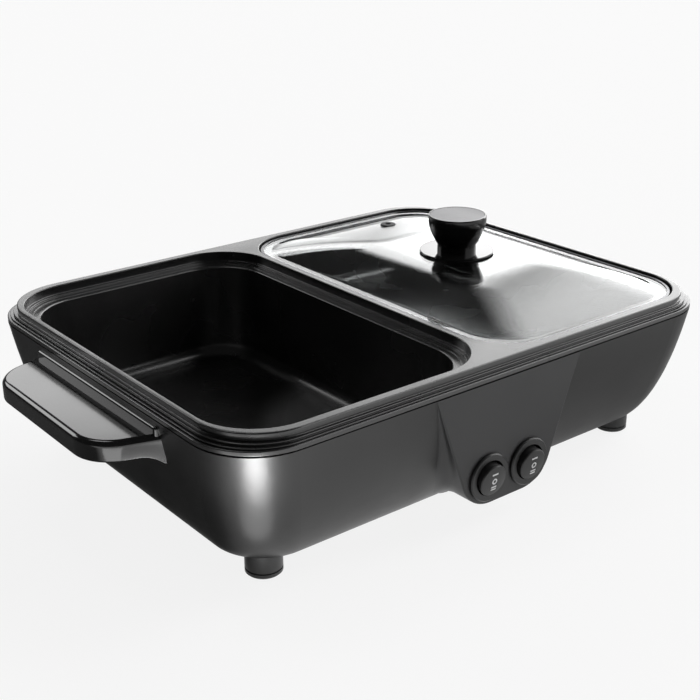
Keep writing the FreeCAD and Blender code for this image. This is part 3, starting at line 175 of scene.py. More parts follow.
def new_material(name: str) -> tuple[bpy.types.Material, Nodes, Sockets]:
    """Starts a material.

    Args:
        name: its name.

    Returns:
        The material, its nodes and the inputs of its shader.
    """
    material = bpy.data.materials.new(name)
    material.use_nodes = True
    return material, Nodes(material.node_tree), material.node_tree.nodes["Principled BSDF"].inputs


class Grain(Enum):
    """How a surface's fine texture runs."""

    EVEN = "even"
    ALONG_X = "along x"
    ALONG_Y = "along y"


def grain_group() -> bpy.types.NodeTree:
    """The shared effect of fine grain and slow haze over a surface.

    Returns:
        A shader group with the inputs Vector, Grain Size and Haze Size (both in metres)
        and the outputs Grain and Haze, each from 0 to 1.
    """
    name = "fine_grain"
    if name in bpy.data.node_groups:
        return bpy.data.node_groups[name]
    sizes = [("Vector", "Vector", None), ("Grain Size", "Float", 0.0006), ("Haze Size", "Float", 0.04)]
    nodes = new_group(name, TreeKind.SHADER, sizes, ("Grain", "Haze"))
    made = {}
    for index, (detail, label) in enumerate(((3.0, "Grain"), (2.0, "Haze")), start=1):
        scale = nodes.math("DIVIDE", 1.0, nodes.entry[index])
        noise = {"Detail": detail, "Vector": nodes.entry["Vector"], "Scale": scale}
        made[label] = nodes.add("ShaderNodeTexNoise", noise).outputs["Fac"]
    nodes.add("NodeGroupOutput", made)
    return nodes.tree


@dataclass(frozen=True)
class Finish:
    """One solid surface: its colour, sheen and fine texture.

    Sizes are millimetres; the shifts say how far colour and roughness wander either way.
    """

    slot: str
    colour: Colour
    roughness: float
    metallic: float = 0.0
    colour_shift: float = 0.15
    roughness_shift: float = 0.06
    grain_size: float = 0.6
    grain_depth: float = 0.01
    haze_size: float = 40.0
    specular: float = 0.5
    grain: Grain = Grain.EVEN

    def material(self) -> bpy.types.Material:
        """Builds the material once.

        Returns:
            The material of this finish.
        """
        name = "finish_" + self.slot
        if name in bpy.data.materials:
            return bpy.data.materials[name]
        material, nodes, shader = new_material(name)
        material.diffuse_color = (*self.colour, 1.0)
        grain, haze = self.texture(nodes)
        dark, light = ([c * (1.0 + sign * self.colour_shift) for c in self.colour] for sign in (-1, 1))
        tint = nodes.add("ShaderNodeMix", {0: grain, 6: (*dark, 1.0), 7: (*light, 1.0)}, data_type="RGBA")
        spread = {"Value": haze, "From Min": HAZE_RANGE[0], "From Max": HAZE_RANGE[1],
                  "To Min": max(0.02, self.roughness - self.roughness_shift),
                  "To Max": self.roughness + self.roughness_shift}
        bump = {"Strength": 1.0, "Distance": self.grain_depth * MM, "Height": grain}
        looks = {"Base Color": tint.outputs[2], "Roughness": nodes.out("ShaderNodeMapRange", spread),
                 "Metallic": self.metallic, "Specular IOR Level": self.specular,
                 "Normal": nodes.out("ShaderNodeBump", bump)}
        nodes.feed_all(shader, looks)
        return material

    def texture(self, nodes: Nodes) -> tuple[Socket, Socket]:
        """Places the shared grain on the object's own coordinates.

        Args:
            nodes: the material's tree.

        Returns:
            The sockets of grain and haze.
        """
        runs = {Grain.EVEN: (1, 1, 1), Grain.ALONG_X: (BRUSHED, 1, 1), Grain.ALONG_Y: (1, BRUSHED, 1)}
        spot = nodes.add("ShaderNodeTexCoord").outputs["Object"]
        stretched = nodes.out("ShaderNodeMapping", {"Vector": spot, "Scale": runs[self.grain]})
        sizes = {"Vector": stretched, "Grain Size": self.grain_size * MM, "Haze Size": self.haze_size * MM}
        group = nodes.add("ShaderNodeGroup", sizes, node_tree=grain_group())
        return group.outputs["Grain"], group.outputs["Haze"]


@dataclass(frozen=True)
class ClearGlass:
    """Clear tempered glass with a faint unevenness."""

    slot: str = "lid_glass"
    tint: Colour = (0.96, 0.98, 0.98)
    ripple_size: float = 60.0
    ripple_depth: float = 0.02

    def material(self) -> bpy.types.Material:
        """Builds the material once.

        Returns:
            The material of the glass.
        """
        name = "finish_" + self.slot
        if name in bpy.data.materials:
            return bpy.data.materials[name]
        material, nodes, shader = new_material(name)
        spot = nodes.add("ShaderNodeTexCoord").outputs["Object"]
        sizes = {"Vector": spot, "Grain Size": self.ripple_size * MM}
        group = nodes.add("ShaderNodeGroup", sizes, node_tree=grain_group())
        bump = {"Distance": self.ripple_depth * MM, "Height": group.outputs["Grain"]}
        looks = {"Base Color": (*self.tint, 1.0), "Transmission Weight": 1.0, "Roughness": 0.0, "IOR": 1.5,
                 "Normal": nodes.out("ShaderNodeBump", bump)}
        nodes.feed_all(shader, looks)
        return material


STEEL: Colour = (0.62, 0.62, 0.64)
FINISHES: dict[str, Finish | ClearGlass] = {
    finish.slot: finish
    for finish in (
        Finish("tray_coating", (0.010, 0.010, 0.010), 0.26, grain_size=0.5, grain_depth=0.01, specular=0.95),
        Finish("casing_paint", (0.012, 0.012, 0.012), 0.37, grain_size=0.4, grain_depth=0.006),
        Finish("pod_plastic", (0.030, 0.030, 0.031), 0.42, grain_size=0.4, grain_depth=0.008),
        Finish("handle_plastic", (0.004, 0.004, 0.004), 0.12, roughness_shift=0.02, grain_size=0.8,
               grain_depth=0.002, specular=0.9),
        Finish("gasket_rubber", (0.006, 0.006, 0.006), 0.75, grain_size=0.4, grain_depth=0.01),
        Finish("foot_rubber", (0.060, 0.060, 0.060), 0.35, grain_size=0.5, grain_depth=0.006),
        Finish("cover_metal", (0.035, 0.035, 0.035), 0.5, grain_size=0.8, grain_depth=0.02),
        Finish("switch_plastic", (0.020, 0.020, 0.020), 0.32, grain_size=0.3, grain_depth=0.004),
        Finish("contact_brass", (0.78, 0.6, 0.3), 0.3, 1.0, grain_size=0.2, grain=Grain.ALONG_Y),
        Finish("screw_steel", STEEL, 0.32, 1.0, grain_size=0.15, grain_depth=0.004),
        Finish("heater_steel", (0.35, 0.34, 0.33), 0.45, 1.0, grain_size=0.4),
        Finish("bar_steel", (0.55, 0.55, 0.56), 0.4, 1.0, grain_size=0.2, grain=Grain.ALONG_X),
        Finish("thermostat_body", (0.05, 0.05, 0.06), 0.25, grain_size=0.5),
        Finish("fuse_metal", (0.6, 0.6, 0.62), 0.35, 1.0, grain_size=0.2, grain=Grain.ALONG_X),
        Finish("shield_metal", (0.7, 0.7, 0.72), 0.4, 1.0, grain_size=0.3, grain=Grain.ALONG_Y),
        Finish("inlet_plastic", (0.015, 0.015, 0.015), 0.45, grain_size=0.4, grain_depth=0.01),
        Finish("block_plastic", (0.8, 0.78, 0.72), 0.5, grain_size=0.4),
        Finish("wire_sleeve", (0.25, 0.05, 0.04), 0.6, grain_size=0.3),
        Finish("rim_steel", (0.13, 0.13, 0.135), 0.30, 1.0, grain_size=0.2, grain=Grain.ALONG_Y),
        Finish("knob_plastic", (0.003, 0.003, 0.003), 0.14, grain_size=0.6, grain_depth=0.002),
        Finish("cap_aluminium", (0.14, 0.14, 0.144), 0.42, 1.0, 0.35, grain_size=0.25, grain=Grain.ALONG_Y),
        Finish("disc_gloss", (0.006, 0.006, 0.006), 0.05, grain_size=0.3, grain_depth=0.0005, specular=0.45),
        Finish("seal_rubber", (0.008, 0.008, 0.008), 0.6, grain_size=0.3),
        Finish("print_white", (0.82, 0.82, 0.82), 0.5, colour_shift=0.04, grain_size=0.2, grain_depth=0.002),
        ClearGlass(),
    )
}


# ---- studio


@dataclass(frozen=True)
class SoftWindow:
    """One soft light panel of the studio, in degrees round and up as seen from the object."""

    azimuth: float
    reach: float
    low: float
    high: float
    level: float
    side_fade: float = 14.0
    top_fade: float = 8.0


@dataclass(frozen=True)
class Lamp:
    """One small panel lying face up just over the floor. Lengths are metres, angles degrees."""

    name: str
    place: tuple[float, float]
    length: float
    width: float
    turn: float
    spread: float
    watts: float


def window_group() -> bpy.types.NodeTree:
    """The shared mask of one soft panel.

    Returns:
        A shader group with the inputs Direction, Middle, Inner Side, Outer Side, Foot Start, Foot,
        Head and Head End, and the output Mask.
    """
    name = "soft_window"
    if name in bpy.data.node_groups:
        return bpy.data.node_groups[name]
    inputs = [(label, "Vector", None) for label in ("Direction", "Middle")]
    inputs += [(label, "Float", None)
               for label in ("Inner Side", "Outer Side", "Foot Start", "Foot", "Head", "Head End")]
    nodes = new_group(name, TreeKind.SHADER, inputs, ("Mask",))
    entry = nodes.entry
    level = {0: entry["Direction"], 1: (1.0, 1.0, 0.0)}
    flat = nodes.out("ShaderNodeVectorMath", level, operation="MULTIPLY")
    unit = nodes.out("ShaderNodeVectorMath", {0: flat}, operation="NORMALIZE")
    facing = nodes.add("ShaderNodeVectorMath", {0: unit, 1: entry["Middle"]}, operation="DOT_PRODUCT")
    height = nodes.add("ShaderNodeSeparateXYZ", {0: entry["Direction"]}).outputs["Z"]
    side = nodes.step(facing.outputs["Value"], entry["Outer Side"], entry["Inner Side"])
    foot = nodes.step(height, entry["Foot Start"], entry["Foot"])
    head = nodes.step(height, entry["Head"], entry["Head End"])
    mask = nodes.times(nodes.times(side, foot), nodes.math("SUBTRACT", 1.0, head))
    nodes.add("NodeGroupOutput", {"Mask": mask})
    return nodes.tree


@dataclass(frozen=True)
class Studio:
    """The pale floor, the soft light and the camera. Lengths are metres."""

    floor_half: float = 6.0
    floor_colour: float = 0.86
    floor_glow: float = 0.86
    # The floor's brightness in reflections where its painted shade is full.
    shaded_reflection_level: float = 0.05
    # Where the painted shade on the floor's reflection at the left starts and is full: across, and to the
    # back.
    shaded_reflection_left: tuple[float, float] = (-0.11, -0.13)
    shaded_reflection_back: tuple[float, float] = (-0.105, -0.065)
    # The same for the lighter painted shade on the floor's reflection at the right: across, to the back, and
    # its share.
    dimmed_reflection_right: tuple[float, float] = (-0.03, 0.12)
    dimmed_reflection_back: tuple[float, float] = (-0.21, -0.16)
    dimmed_reflection_share: float = 0.55
    ambient: float = 0.05
    lamp_height: float = 0.002
    camera_place: Point = (-0.35872, -0.45211, 0.28157)
    camera_yaw: float = 38.30
    camera_pitch: float = 22.07
    camera_roll: float = -0.44
    camera_lens: float = 62.57
    camera_sensor: float = 36.0
    camera_near: float = 0.01
    windows: tuple[SoftWindow, ...] = (
        SoftWindow(22.0, 22.0, -8.0, 12.0, 4.6, 8.0, 12.0),
        SoftWindow(8.0, 16.0, 18.0, 44.0, 3.2, 25.0, 8.0),
        SoftWindow(62.0, 14.0, 17.0, 25.0, 2.6, 8.0, 3.0),
        SoftWindow(58.0, 10.0, -6.0, 12.0, 1.3, 6.0, 4.0),
        SoftWindow(106.0, 11.0, 19.0, 33.0, 3.4, 6.0, 4.0),
        SoftWindow(97.0, 8.0, 60.0, 74.0, 3.0, 10.0, 6.0),
        SoftWindow(-22.0, 8.0, 38.0, 54.0, 3.5, 10.0, 8.0),
        SoftWindow(-50.0, 22.0, -6.0, 20.0, 2.2, 12.0, 6.0),
    )
    lamps: tuple[Lamp, ...] = (
        Lamp("corner_lamp", (-0.171, -0.156), 0.062, 0.054, 55.0, 124.0, 0.24),
        Lamp("corner_fill", (-0.145, -0.118), 0.050, 0.040, 55.0, 180.0, 0.012),
        Lamp("handle_lamp", (-0.212, -0.145), 0.160, 0.055, -27.0, 180.0, 0.044),
    )

    def build(self) -> None:
        """Makes the floor, the world, the lamps and the camera."""
        self.make_floor()
        self.make_world()
        self.make_lamps()
        self.make_camera()
        bpy.context.scene.view_settings.view_transform = "Standard"

    def make_floor(self) -> None:
        """A wide pale plane that keeps the shadow, with painted shade that darkens it only where reflections
        see it.
        """
        half = self.floor_half
        mesh = bpy.data.meshes.new("floor")
        corners = [(-half, -half, 0), (half, -half, 0), (half, half, 0), (-half, half, 0)]
        mesh.from_pydata(corners, [], [(0, 1, 2, 3)])
        floor = bpy.data.objects.new("floor", mesh)
        bpy.context.collection.objects.link(floor)
        material, nodes, shader = new_material("floor_paper")
        shader["Base Color"].default_value = (*[self.floor_colour] * 3, 1.0)
        shader["Roughness"].default_value = 0.9
        spot = nodes.add("ShaderNodeTexCoord").outputs["Object"]
        axes = nodes.add("ShaderNodeSeparateXYZ", {0: spot}).outputs
        # Painted shade: glossy rays see the floor darkened at the back left and, less, at the right, so the
        # casing's sides show dark painted reflections.
        dark, dimmed_reflection_mask = (nodes.times(nodes.step(axes["X"], *across), nodes.step(axes["Y"], *back))
                     for across, back in ((self.shaded_reflection_left, self.shaded_reflection_back), (self.dimmed_reflection_right, self.dimmed_reflection_back)))
        reflection_shade_mask = nodes.math("MAXIMUM", dark, nodes.times(dimmed_reflection_mask, self.dimmed_reflection_share))
        path = nodes.add("ShaderNodeLightPath").outputs
        seen = nodes.times(reflection_shade_mask, path["Is Glossy Ray"])
        level = nodes.math("SUBTRACT", 1.0, nodes.times(seen, 1.0 - self.shaded_reflection_level))
        glow = nodes.out("ShaderNodeEmission", {"Color": (1.0, 1.0, 1.0, 1.0), "Strength": level})
        rays = nodes.math("MAXIMUM", path["Is Camera Ray"], path["Is Glossy Ray"])
        rays = nodes.math("MAXIMUM", rays, path["Is Transmission Ray"])
        tree = material.node_tree.nodes
        mixed = {0: nodes.times(rays, self.floor_glow), 1: tree["Principled BSDF"].outputs[0], 2: glow}
        nodes.feed(tree["Material Output"].inputs["Surface"], nodes.out("ShaderNodeMixShader", mixed))
        mesh.materials.append(material)

    def make_world(self) -> None:
        """A dim room with soft light panels, white where the camera looks past the floor."""
        world = bpy.data.worlds.new("studio")
        bpy.context.scene.world = world
        world.use_nodes = True
        nodes = Nodes(world.node_tree)
        direction = nodes.add("ShaderNodeTexCoord").outputs["Generated"]
        total: object = self.ambient
        for window in self.windows:
            round_to = math.radians(window.azimuth)
            rises = {"Foot Start": window.low - window.top_fade, "Foot": window.low,
                     "Head": window.high, "Head End": window.high + window.top_fade}
            values = {"Direction": direction, "Middle": (math.cos(round_to), math.sin(round_to), 0.0),
                      "Inner Side": math.cos(math.radians(window.reach)),
                      "Outer Side": math.cos(math.radians(window.reach + window.side_fade)),
                      **{label: math.sin(math.radians(degrees)) for label, degrees in rises.items()}}
            mask = nodes.out("ShaderNodeGroup", values, node_tree=window_group())
            total = nodes.math("ADD", nodes.times(mask, window.level), total)
        seen = nodes.add("ShaderNodeLightPath").outputs["Is Camera Ray"]
        level = nodes.out("ShaderNodeMix", {0: seen, 2: total, 3: 1.0}, data_type="FLOAT")
        backdrop = world.node_tree.nodes["Background"].inputs
        backdrop["Color"].default_value = (1.0, 1.0, 1.0, 1.0)
        nodes.feed(backdrop["Strength"], level)

    def make_lamps(self) -> None:
        """The small panels for the front left corner and for the handle; the camera doesn't see them."""
        for lamp in self.lamps:
            light = bpy.data.lights.new(lamp.name, "AREA")
            light.shape = "ELLIPSE"
            light.size, light.size_y = lamp.length, lamp.width
            light.energy = lamp.watts
            light.spread = math.radians(lamp.spread)
            panel = bpy.data.objects.new(lamp.name, light)
            panel.location = (*lamp.place, self.lamp_height)
            panel.rotation_euler = (math.pi, 0.0, math.radians(lamp.turn))
            panel.visible_camera = False
            bpy.context.collection.objects.link(panel)

    def make_camera(self) -> None:
        """The camera, aimed by yaw, pitch and roll."""
        data = bpy.data.cameras.new("camera")
        data.lens = self.camera_lens
        data.sensor_width = self.camera_sensor
        data.clip_start = self.camera_near
        camera = bpy.data.objects.new("camera", data)
        yaw, pitch, roll = (math.radians(a) for a in (self.camera_yaw, self.camera_pitch, self.camera_roll))
        turn = Matrix.Rotation(-yaw, 4, "Z") @ Matrix.Rotation(math.pi / 2 - pitch, 4, "X")
        camera.matrix_world = Matrix.Translation(self.camera_place) @ turn @ Matrix.Rotation(roll, 4, "Z")
        bpy.context.collection.objects.link(camera)
        bpy.context.scene.camera = camera


# ---- mesh helpers


def circle(radius: float, steps: int) -> Profile:
    """Points round a circle."""
    return [(radius * math.cos(math.tau * step / steps), radius * math.sin(math.tau * step / steps))
            for step in range(steps)]


def quarter(steps: int) -> Profile:
    """Sine and cosine over a quarter turn."""
    return [(math.sin(math.pi / 2 * step / steps), math.cos(math.pi / 2 * step / steps))
            for step in range(steps + 1)]


def rounded(corners: Sequence[tuple[float, float, float]], steps: int = 4) -> Profile:
    """Rounds the corners of an open line.

    Args:
        corners: points with the radius wanted at each, as (u, v, radius).
        steps: pieces of each round.

    Returns:
        The line's points with its rounds.
    """
    line: Profile = [corners[0][:2]]
    for before, (u, v, radius), after in zip(corners, corners[1:], corners[2:]):
        here = Vector((u, v))
        back, ahead = Vector(before[:2]) - here, Vector(after[:2]) - here
        half = back.angle(ahead) / 2
        reach = min(radius / math.tan(half), 0.48 * back.length, 0.48 * ahead.length)
        if reach < 1e-4:
            line.append((u, v))
            continue
        radius = reach * math.tan(half)
        middle = here + (back.normalized() + ahead.normalized()).normalized() * radius / math.sin(half)
        first, last = here + back.normalized() * reach - middle, here + ahead.normalized() * reach - middle
        start = math.atan2(first.y, first.x)
        turn = (math.atan2(last.y, last.x) - start + math.pi) % math.tau - math.pi
        for step in range(steps + 1):
            angle = start + turn * step / steps
            line.append((middle.x + radius * math.cos(angle), middle.y + radius * math.sin(angle)))
    line.append(corners[-1][:2])
    return line


def plan_row(half_x: float, half_y: float, radius: float, z: float, centre_x: float = 0.0,
             steps: int = 14) -> list[Point]:
    """One level outline with round corners.

    Args:
        half_x: half its width.
        half_y: half its length.
        radius: its corner radius.
        z: its height.
        centre_x: its middle across.
        steps: pieces of each corner.

    Returns:
        Its points, counter-clockwise.
    """
    row = []
    for corner, (i, j) in enumerate(((1, 1), (-1, 1), (-1, -1), (1, -1))):
        x, y = centre_x + i * (half_x - radius), j * (half_y - radius)
        for step in range(steps + 1):
            angle = math.radians(90 * (corner + step / steps))
            row.append((x + radius * math.cos(angle), y + radius * math.sin(angle), z))
    return row


def between(table: Sequence[tuple[float, float]], at: float) -> float:
    """Reads a table of (place, value) at a place in between.

    Args:
        table: pairs in rising order of place.
        at: the place.

    Returns:
        The value there, held level beyond the ends.
    """
    for (low, first), (high, second) in zip(table, table[1:]):
        if at <= high:
            share = max(0.0, (at - low) / (high - low))
            return first + (second - first) * share
    return table[-1][1]


# The casing's side below the rim, as control points of (setback, height), and how much less it leans at
# its ends.
CASING_SIDE: tuple[tuple[float, float], ...] = ((0.2, 70.7), (6.4, 29.8), (15.9, 8.4), (28.7, 8.4))
CASING_END_RATIO = 0.878
CASING_HALF_X = 145.0


def casing_setback(z: float) -> float:
    """How far the casing's long sides lie inside their top edge.

    Args:
        z: the height.

    Returns:
        The setback there.
    """
    low, high = 0.0, 1.0
    for _ in range(30):
        t = (low + high) / 2
        u = 1 - t
        weights = (u ** 3, 3 * u * u * t, 3 * u * t * t, t ** 3)
        setback, height = (sum(w * point[axis] for w, point in zip(weights, CASING_SIDE)) for axis in (0, 1))
        low, high = (t, high) if height > z else (low, t)
    return setback


class Axis(Enum):
    """An axis of the frame."""

    Y = "y"
    Z = "z"


class Skin:
    """A surface built in millimetres, row by row, and finished as one smooth mesh."""

    def __init__(self) -> None:
        """Starts empty."""
        self.mesh = bmesh.new()

    def row(self, points: Iterable[Point]) -> Row:
        """Adds a row of points.

        Args:
            points: places in millimetres.

        Returns:
            The row's vertices.
        """
        return [self.mesh.verts.new(Vector(point) * MM) for point in points]

    def sweep(self, rows: Sequence[Row]) -> None:
        """Joins closed rows of the same count with quads.

        Args:
            rows: the rows in order.
        """
        for first, second in zip(rows, rows[1:]):
            count = len(first)
            for index in range(count):
                after = (index + 1) % count
                self.mesh.faces.new((first[index], first[after], second[after], second[index]))

    def fill(self, *loops: Row) -> None:
        """Closes a flat loop.

        Args:
            loops: the loop, and after it the holes that stay open.
        """
        corners = [vert for loop in loops for vert in loop]
        for triangle in tessellate_polygon([[vert.co / MM for vert in loop] for loop in loops]):
            self.mesh.faces.new([corners[index] for index in triangle])

    def bridge(self, row: Row) -> None:
        """Closes a row that is alike on both sides with strips from one side to the other.

        Args:
            row: the row, which starts and ends at the same end.
        """
        count = len(row)
        for index in range(count // 2 - 1):
            self.mesh.faces.new((row[index], row[index + 1], row[count - 2 - index], row[count - 1 - index]))

    def turn(self, profile: Profile, centre: Point, axis: Axis, steps: int = 48) -> None:
        """Turns a closed profile round an axis.

        Args:
            profile: points of (radius, height along the axis), from axis to axis.
            centre: the foot of the axis.
            axis: the direction of the axis.
            steps: pieces round.
        """
        rows = []
        for radius, height in profile:
            ring = []
            for across, along in circle(radius, steps):
                offset = (across, height, along) if axis is Axis.Y else (across, along, height)
                ring.append(tuple(c + o for c, o in zip(centre, offset)))
            rows.append(self.row(ring))
        self.sweep(rows)

    def settle(self, name: str, slot: str) -> bpy.types.Object:
        """Makes the finished piece.

        Args:
            name: the piece's name.
            slot: the finish's slot.

        Returns:
            The piece.
        """
        mesh = bpy.data.meshes.new(name)
        smooth(self.mesh, mesh)
        piece = bpy.data.objects.new(name, mesh)
        bpy.context.collection.objects.link(piece)
        modifier = piece.modifiers.new("even_shading", "WEIGHTED_NORMAL")
        modifier.keep_sharp = True
        return settled(piece, slot)


def smooth(work: bmesh.types.BMesh, mesh: bpy.types.Mesh) -> None:
    """Closes seams, turns the faces out and shades smooth up to a crease angle.

    Args:
        work: the surface, which is used up.
        mesh: the mesh that takes it.
    """
    bmesh.ops.remove_doubles(work, verts=work.verts, dist=SEAM)
    bmesh.ops.recalc_face_normals(work, faces=work.faces)
    work.to_mesh(mesh)
    work.free()
    mesh.polygons.foreach_set("use_smooth", [True] * len(mesh.polygons))
    mesh.set_sharp_from_angle(angle=math.radians(CREASE))


def settled(piece: bpy.types.Object, slot: str) -> bpy.types.Object:
    """Turns what a piece's modifiers make into its plain mesh and gives it its finish.

    Args:
        piece: the piece with its modifiers.
        slot: the finish's slot.

    Returns:
        The same piece.
    """
    graph = bpy.context.evaluated_depsgraph_get()
    mesh = bpy.data.meshes.new_from_object(piece.evaluated_get(graph))
    mesh.name = piece.name
    piece.modifiers.clear()
    piece.data = mesh
    mesh.materials.clear()
    mesh.materials.append(FINISHES[slot].material())
    log.info("%s: %d faces", piece.name, len(mesh.polygons))
    return piece


def place(piece: bpy.types.Object, body: str, *nodes: str) -> None:
    """Lets a piece ride on its body.

    Args:
        piece: the piece.
        body: the body's name.
        nodes: the frame's nodes that it takes the place of.
    """
    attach(piece, body)
    if nodes:
        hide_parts(*nodes)


# ---- cooking tray


@dataclass
class CookingTray:
    """The cast tray: a stepped rim, a deck, two lid recesses and two basins."""

    lip_half_x: float = 140.7
    lip_half_y: float = 109.3
    lip_radius: float = 30.1
    setback_x: float = 4.3
    setback_y: float = 3.1
    radius_gain: float = 0.7
    flange_bottom: float = 71.3
    recess_x: float = 70.025
    recess_half_x: float = 68.475
    recess_half_y: float = 104.9
    floors: tuple[float, float] = (22.5, 43.8)
    wall: float = 2.5
    # Each corner of the rim from its foot up: share of the setback, height, round.
    rim: tuple[tuple[float, float, float], ...] = (
        (0.84, 71.3, 0.0), (1.0, 71.3, 0.3), (1.0, 73.4, 0.5), (0.6, 73.4, 0.08), (0.6, 73.7, 0.08),
        (0.72, 73.7, 0.15), (0.72, 74.2, 0.22), (0.28, 74.2, 0.15), (0.28, 74.9, 0.15), (0.4, 74.9, 0.22),
        (0.4, 75.5, 0.22), (-0.1, 75.5, 0.3), (-0.1, 77.1, 0.25), (0.0, 77.1, 0.12), (0.0, 78.8, 0.8),
        (-0.32, 78.8, 0.0),
    )
    # Each corner of a recess from the deck down: inset, height, round. The basin's floor follows.
    recess: tuple[tuple[float, float, float], ...] = (
        (-0.9, 78.8, 0.0), (0.0, 78.8, 0.6), (0.0, 74.1, 0.35), (1.8, 74.1, 0.35), (1.8, 73.1, 0.2),
        (4.0, 73.1, 0.3), (4.0, 72.6, 0.12), (6.2, 72.6, 0.9),
    )
    corner_radii: tuple[tuple[float, float], ...] = (
        (-1.0, 30.0), (0.0, 29.0), (4.0, 25.0), (6.2, 26.8), (9.6, 25.1), (30.0, 4.7),
    )
    outer_radii: tuple[tuple[float, float], ...] = ((2.9, 30.1), (3.7, 29.3), (7.1, 27.6), (30.0, 4.7))
    draft_inset: float = 9.6
    floor_radius: float = 9.0
    floor_inset: float = 24.0
    outer_insets: tuple[float, float, float] = (2.9, 3.75, 7.1)
    tie_spacing: float = 55.0
    bar_spacing: float = 30.0
    shield_spacing: tuple[float, float] = (45.0, 67.0)
    boss_chamfer: float = 0.5
    # Length and radius of the bosses.
    tie_boss: tuple[float, float] = (20.0, 4.2)
    bar_boss: tuple[float, float] = (6.8, 5.0)
    shield_boss: tuple[float, float] = (11.4, 3.6)

    def rim_row(self, skin: Skin, share: float, z: float) -> Row:
        """Adds one row round the rim at a share of the setback."""
        half_x, half_y = self.lip_half_x + share * self.setback_x, self.lip_half_y + share * self.setback_y
        return skin.row(plan_row(half_x, half_y, self.lip_radius + share * self.radius_gain, z))

    def recess_row(self, skin: Skin, side: int, inset: float, z: float,
                   radii: Sequence[tuple[float, float]]) -> Row:
        """Adds one row inside a recess, or round the outside of its basin."""
        return skin.row(plan_row(self.recess_half_x - inset, self.recess_half_y - inset,
                                 between(radii, inset), z, side * self.recess_x))

    def build(self) -> None:
        """Makes the tray as one closed casting."""
        skin = Skin()
        mean = (self.setback_x + self.setback_y) / 2
        line = rounded([(share * mean, z, radius) for share, z, radius in self.rim])
        rim = [self.rim_row(skin, d / mean, z) for d, z in line]
        skin.sweep(rim)
        deck_holes, foot_holes = [], []
        for side, floor in zip((-1, 1), self.floors):
            under = floor - self.wall
            inside = [*self.recess, (self.draft_inset, floor, self.floor_radius),
                      (self.floor_inset, floor, 0.0)]
            edge, shoulder, foot = self.outer_insets
            outside = [(edge, self.flange_bottom, 0.0), (shoulder, self.flange_bottom, 0.6),
                       (foot, under, self.floor_radius + self.wall), (self.floor_inset, under, 0.0)]
            for corners, radii, holes in ((inside, self.corner_radii, deck_holes),
                                          (outside, self.outer_radii, foot_holes)):
                rows = [self.recess_row(skin, side, inset, z, radii) for inset, z in rounded(corners, 7)]
                skin.sweep(rows)
                skin.fill(rows[-1])
                holes.append(rows[0])
        skin.fill(rim[-1], *deck_holes)
        skin.fill(rim[0], *foot_holes)
        self.add_bosses(skin)
        place(skin.settle("cooking_tray_casting", "tray_coating"), "cooker", "cooking_tray")

    def add_bosses(self, skin: Skin) -> None:
        """Adds the bosses for the tie screws, the pressure bars and the heat shield.

        Args:
            skin: the casting's surface.
        """
        bosses = [(0.0, step * self.tie_spacing, self.flange_bottom, *self.tie_boss) for step in (-1, 0, 1)]
        for side, floor in zip((-1, 1), self.floors):
            under = floor - self.wall
            bosses += [(side * self.recess_x, step * self.bar_spacing, under, *self.bar_boss)
                       for step in (-1, 1)]
        under = self.floors[1] - self.wall
        across, along = self.shield_spacing
        bosses += [(self.recess_x + i * across, j * along, under, *self.shield_boss)
                   for i in (-1, 1) for j in (-1, 1)]
        for x, y, top, length, radius in bosses:
            low, cut = top - length, self.boss_chamfer
            profile = [(0.0, top + cut), (radius, top + cut), (radius, low + cut), (radius - cut, low),
                       (0.0, low)]
            skin.turn(profile, (x, y, 0.0), Axis.Z, 24)


# ---- control pod


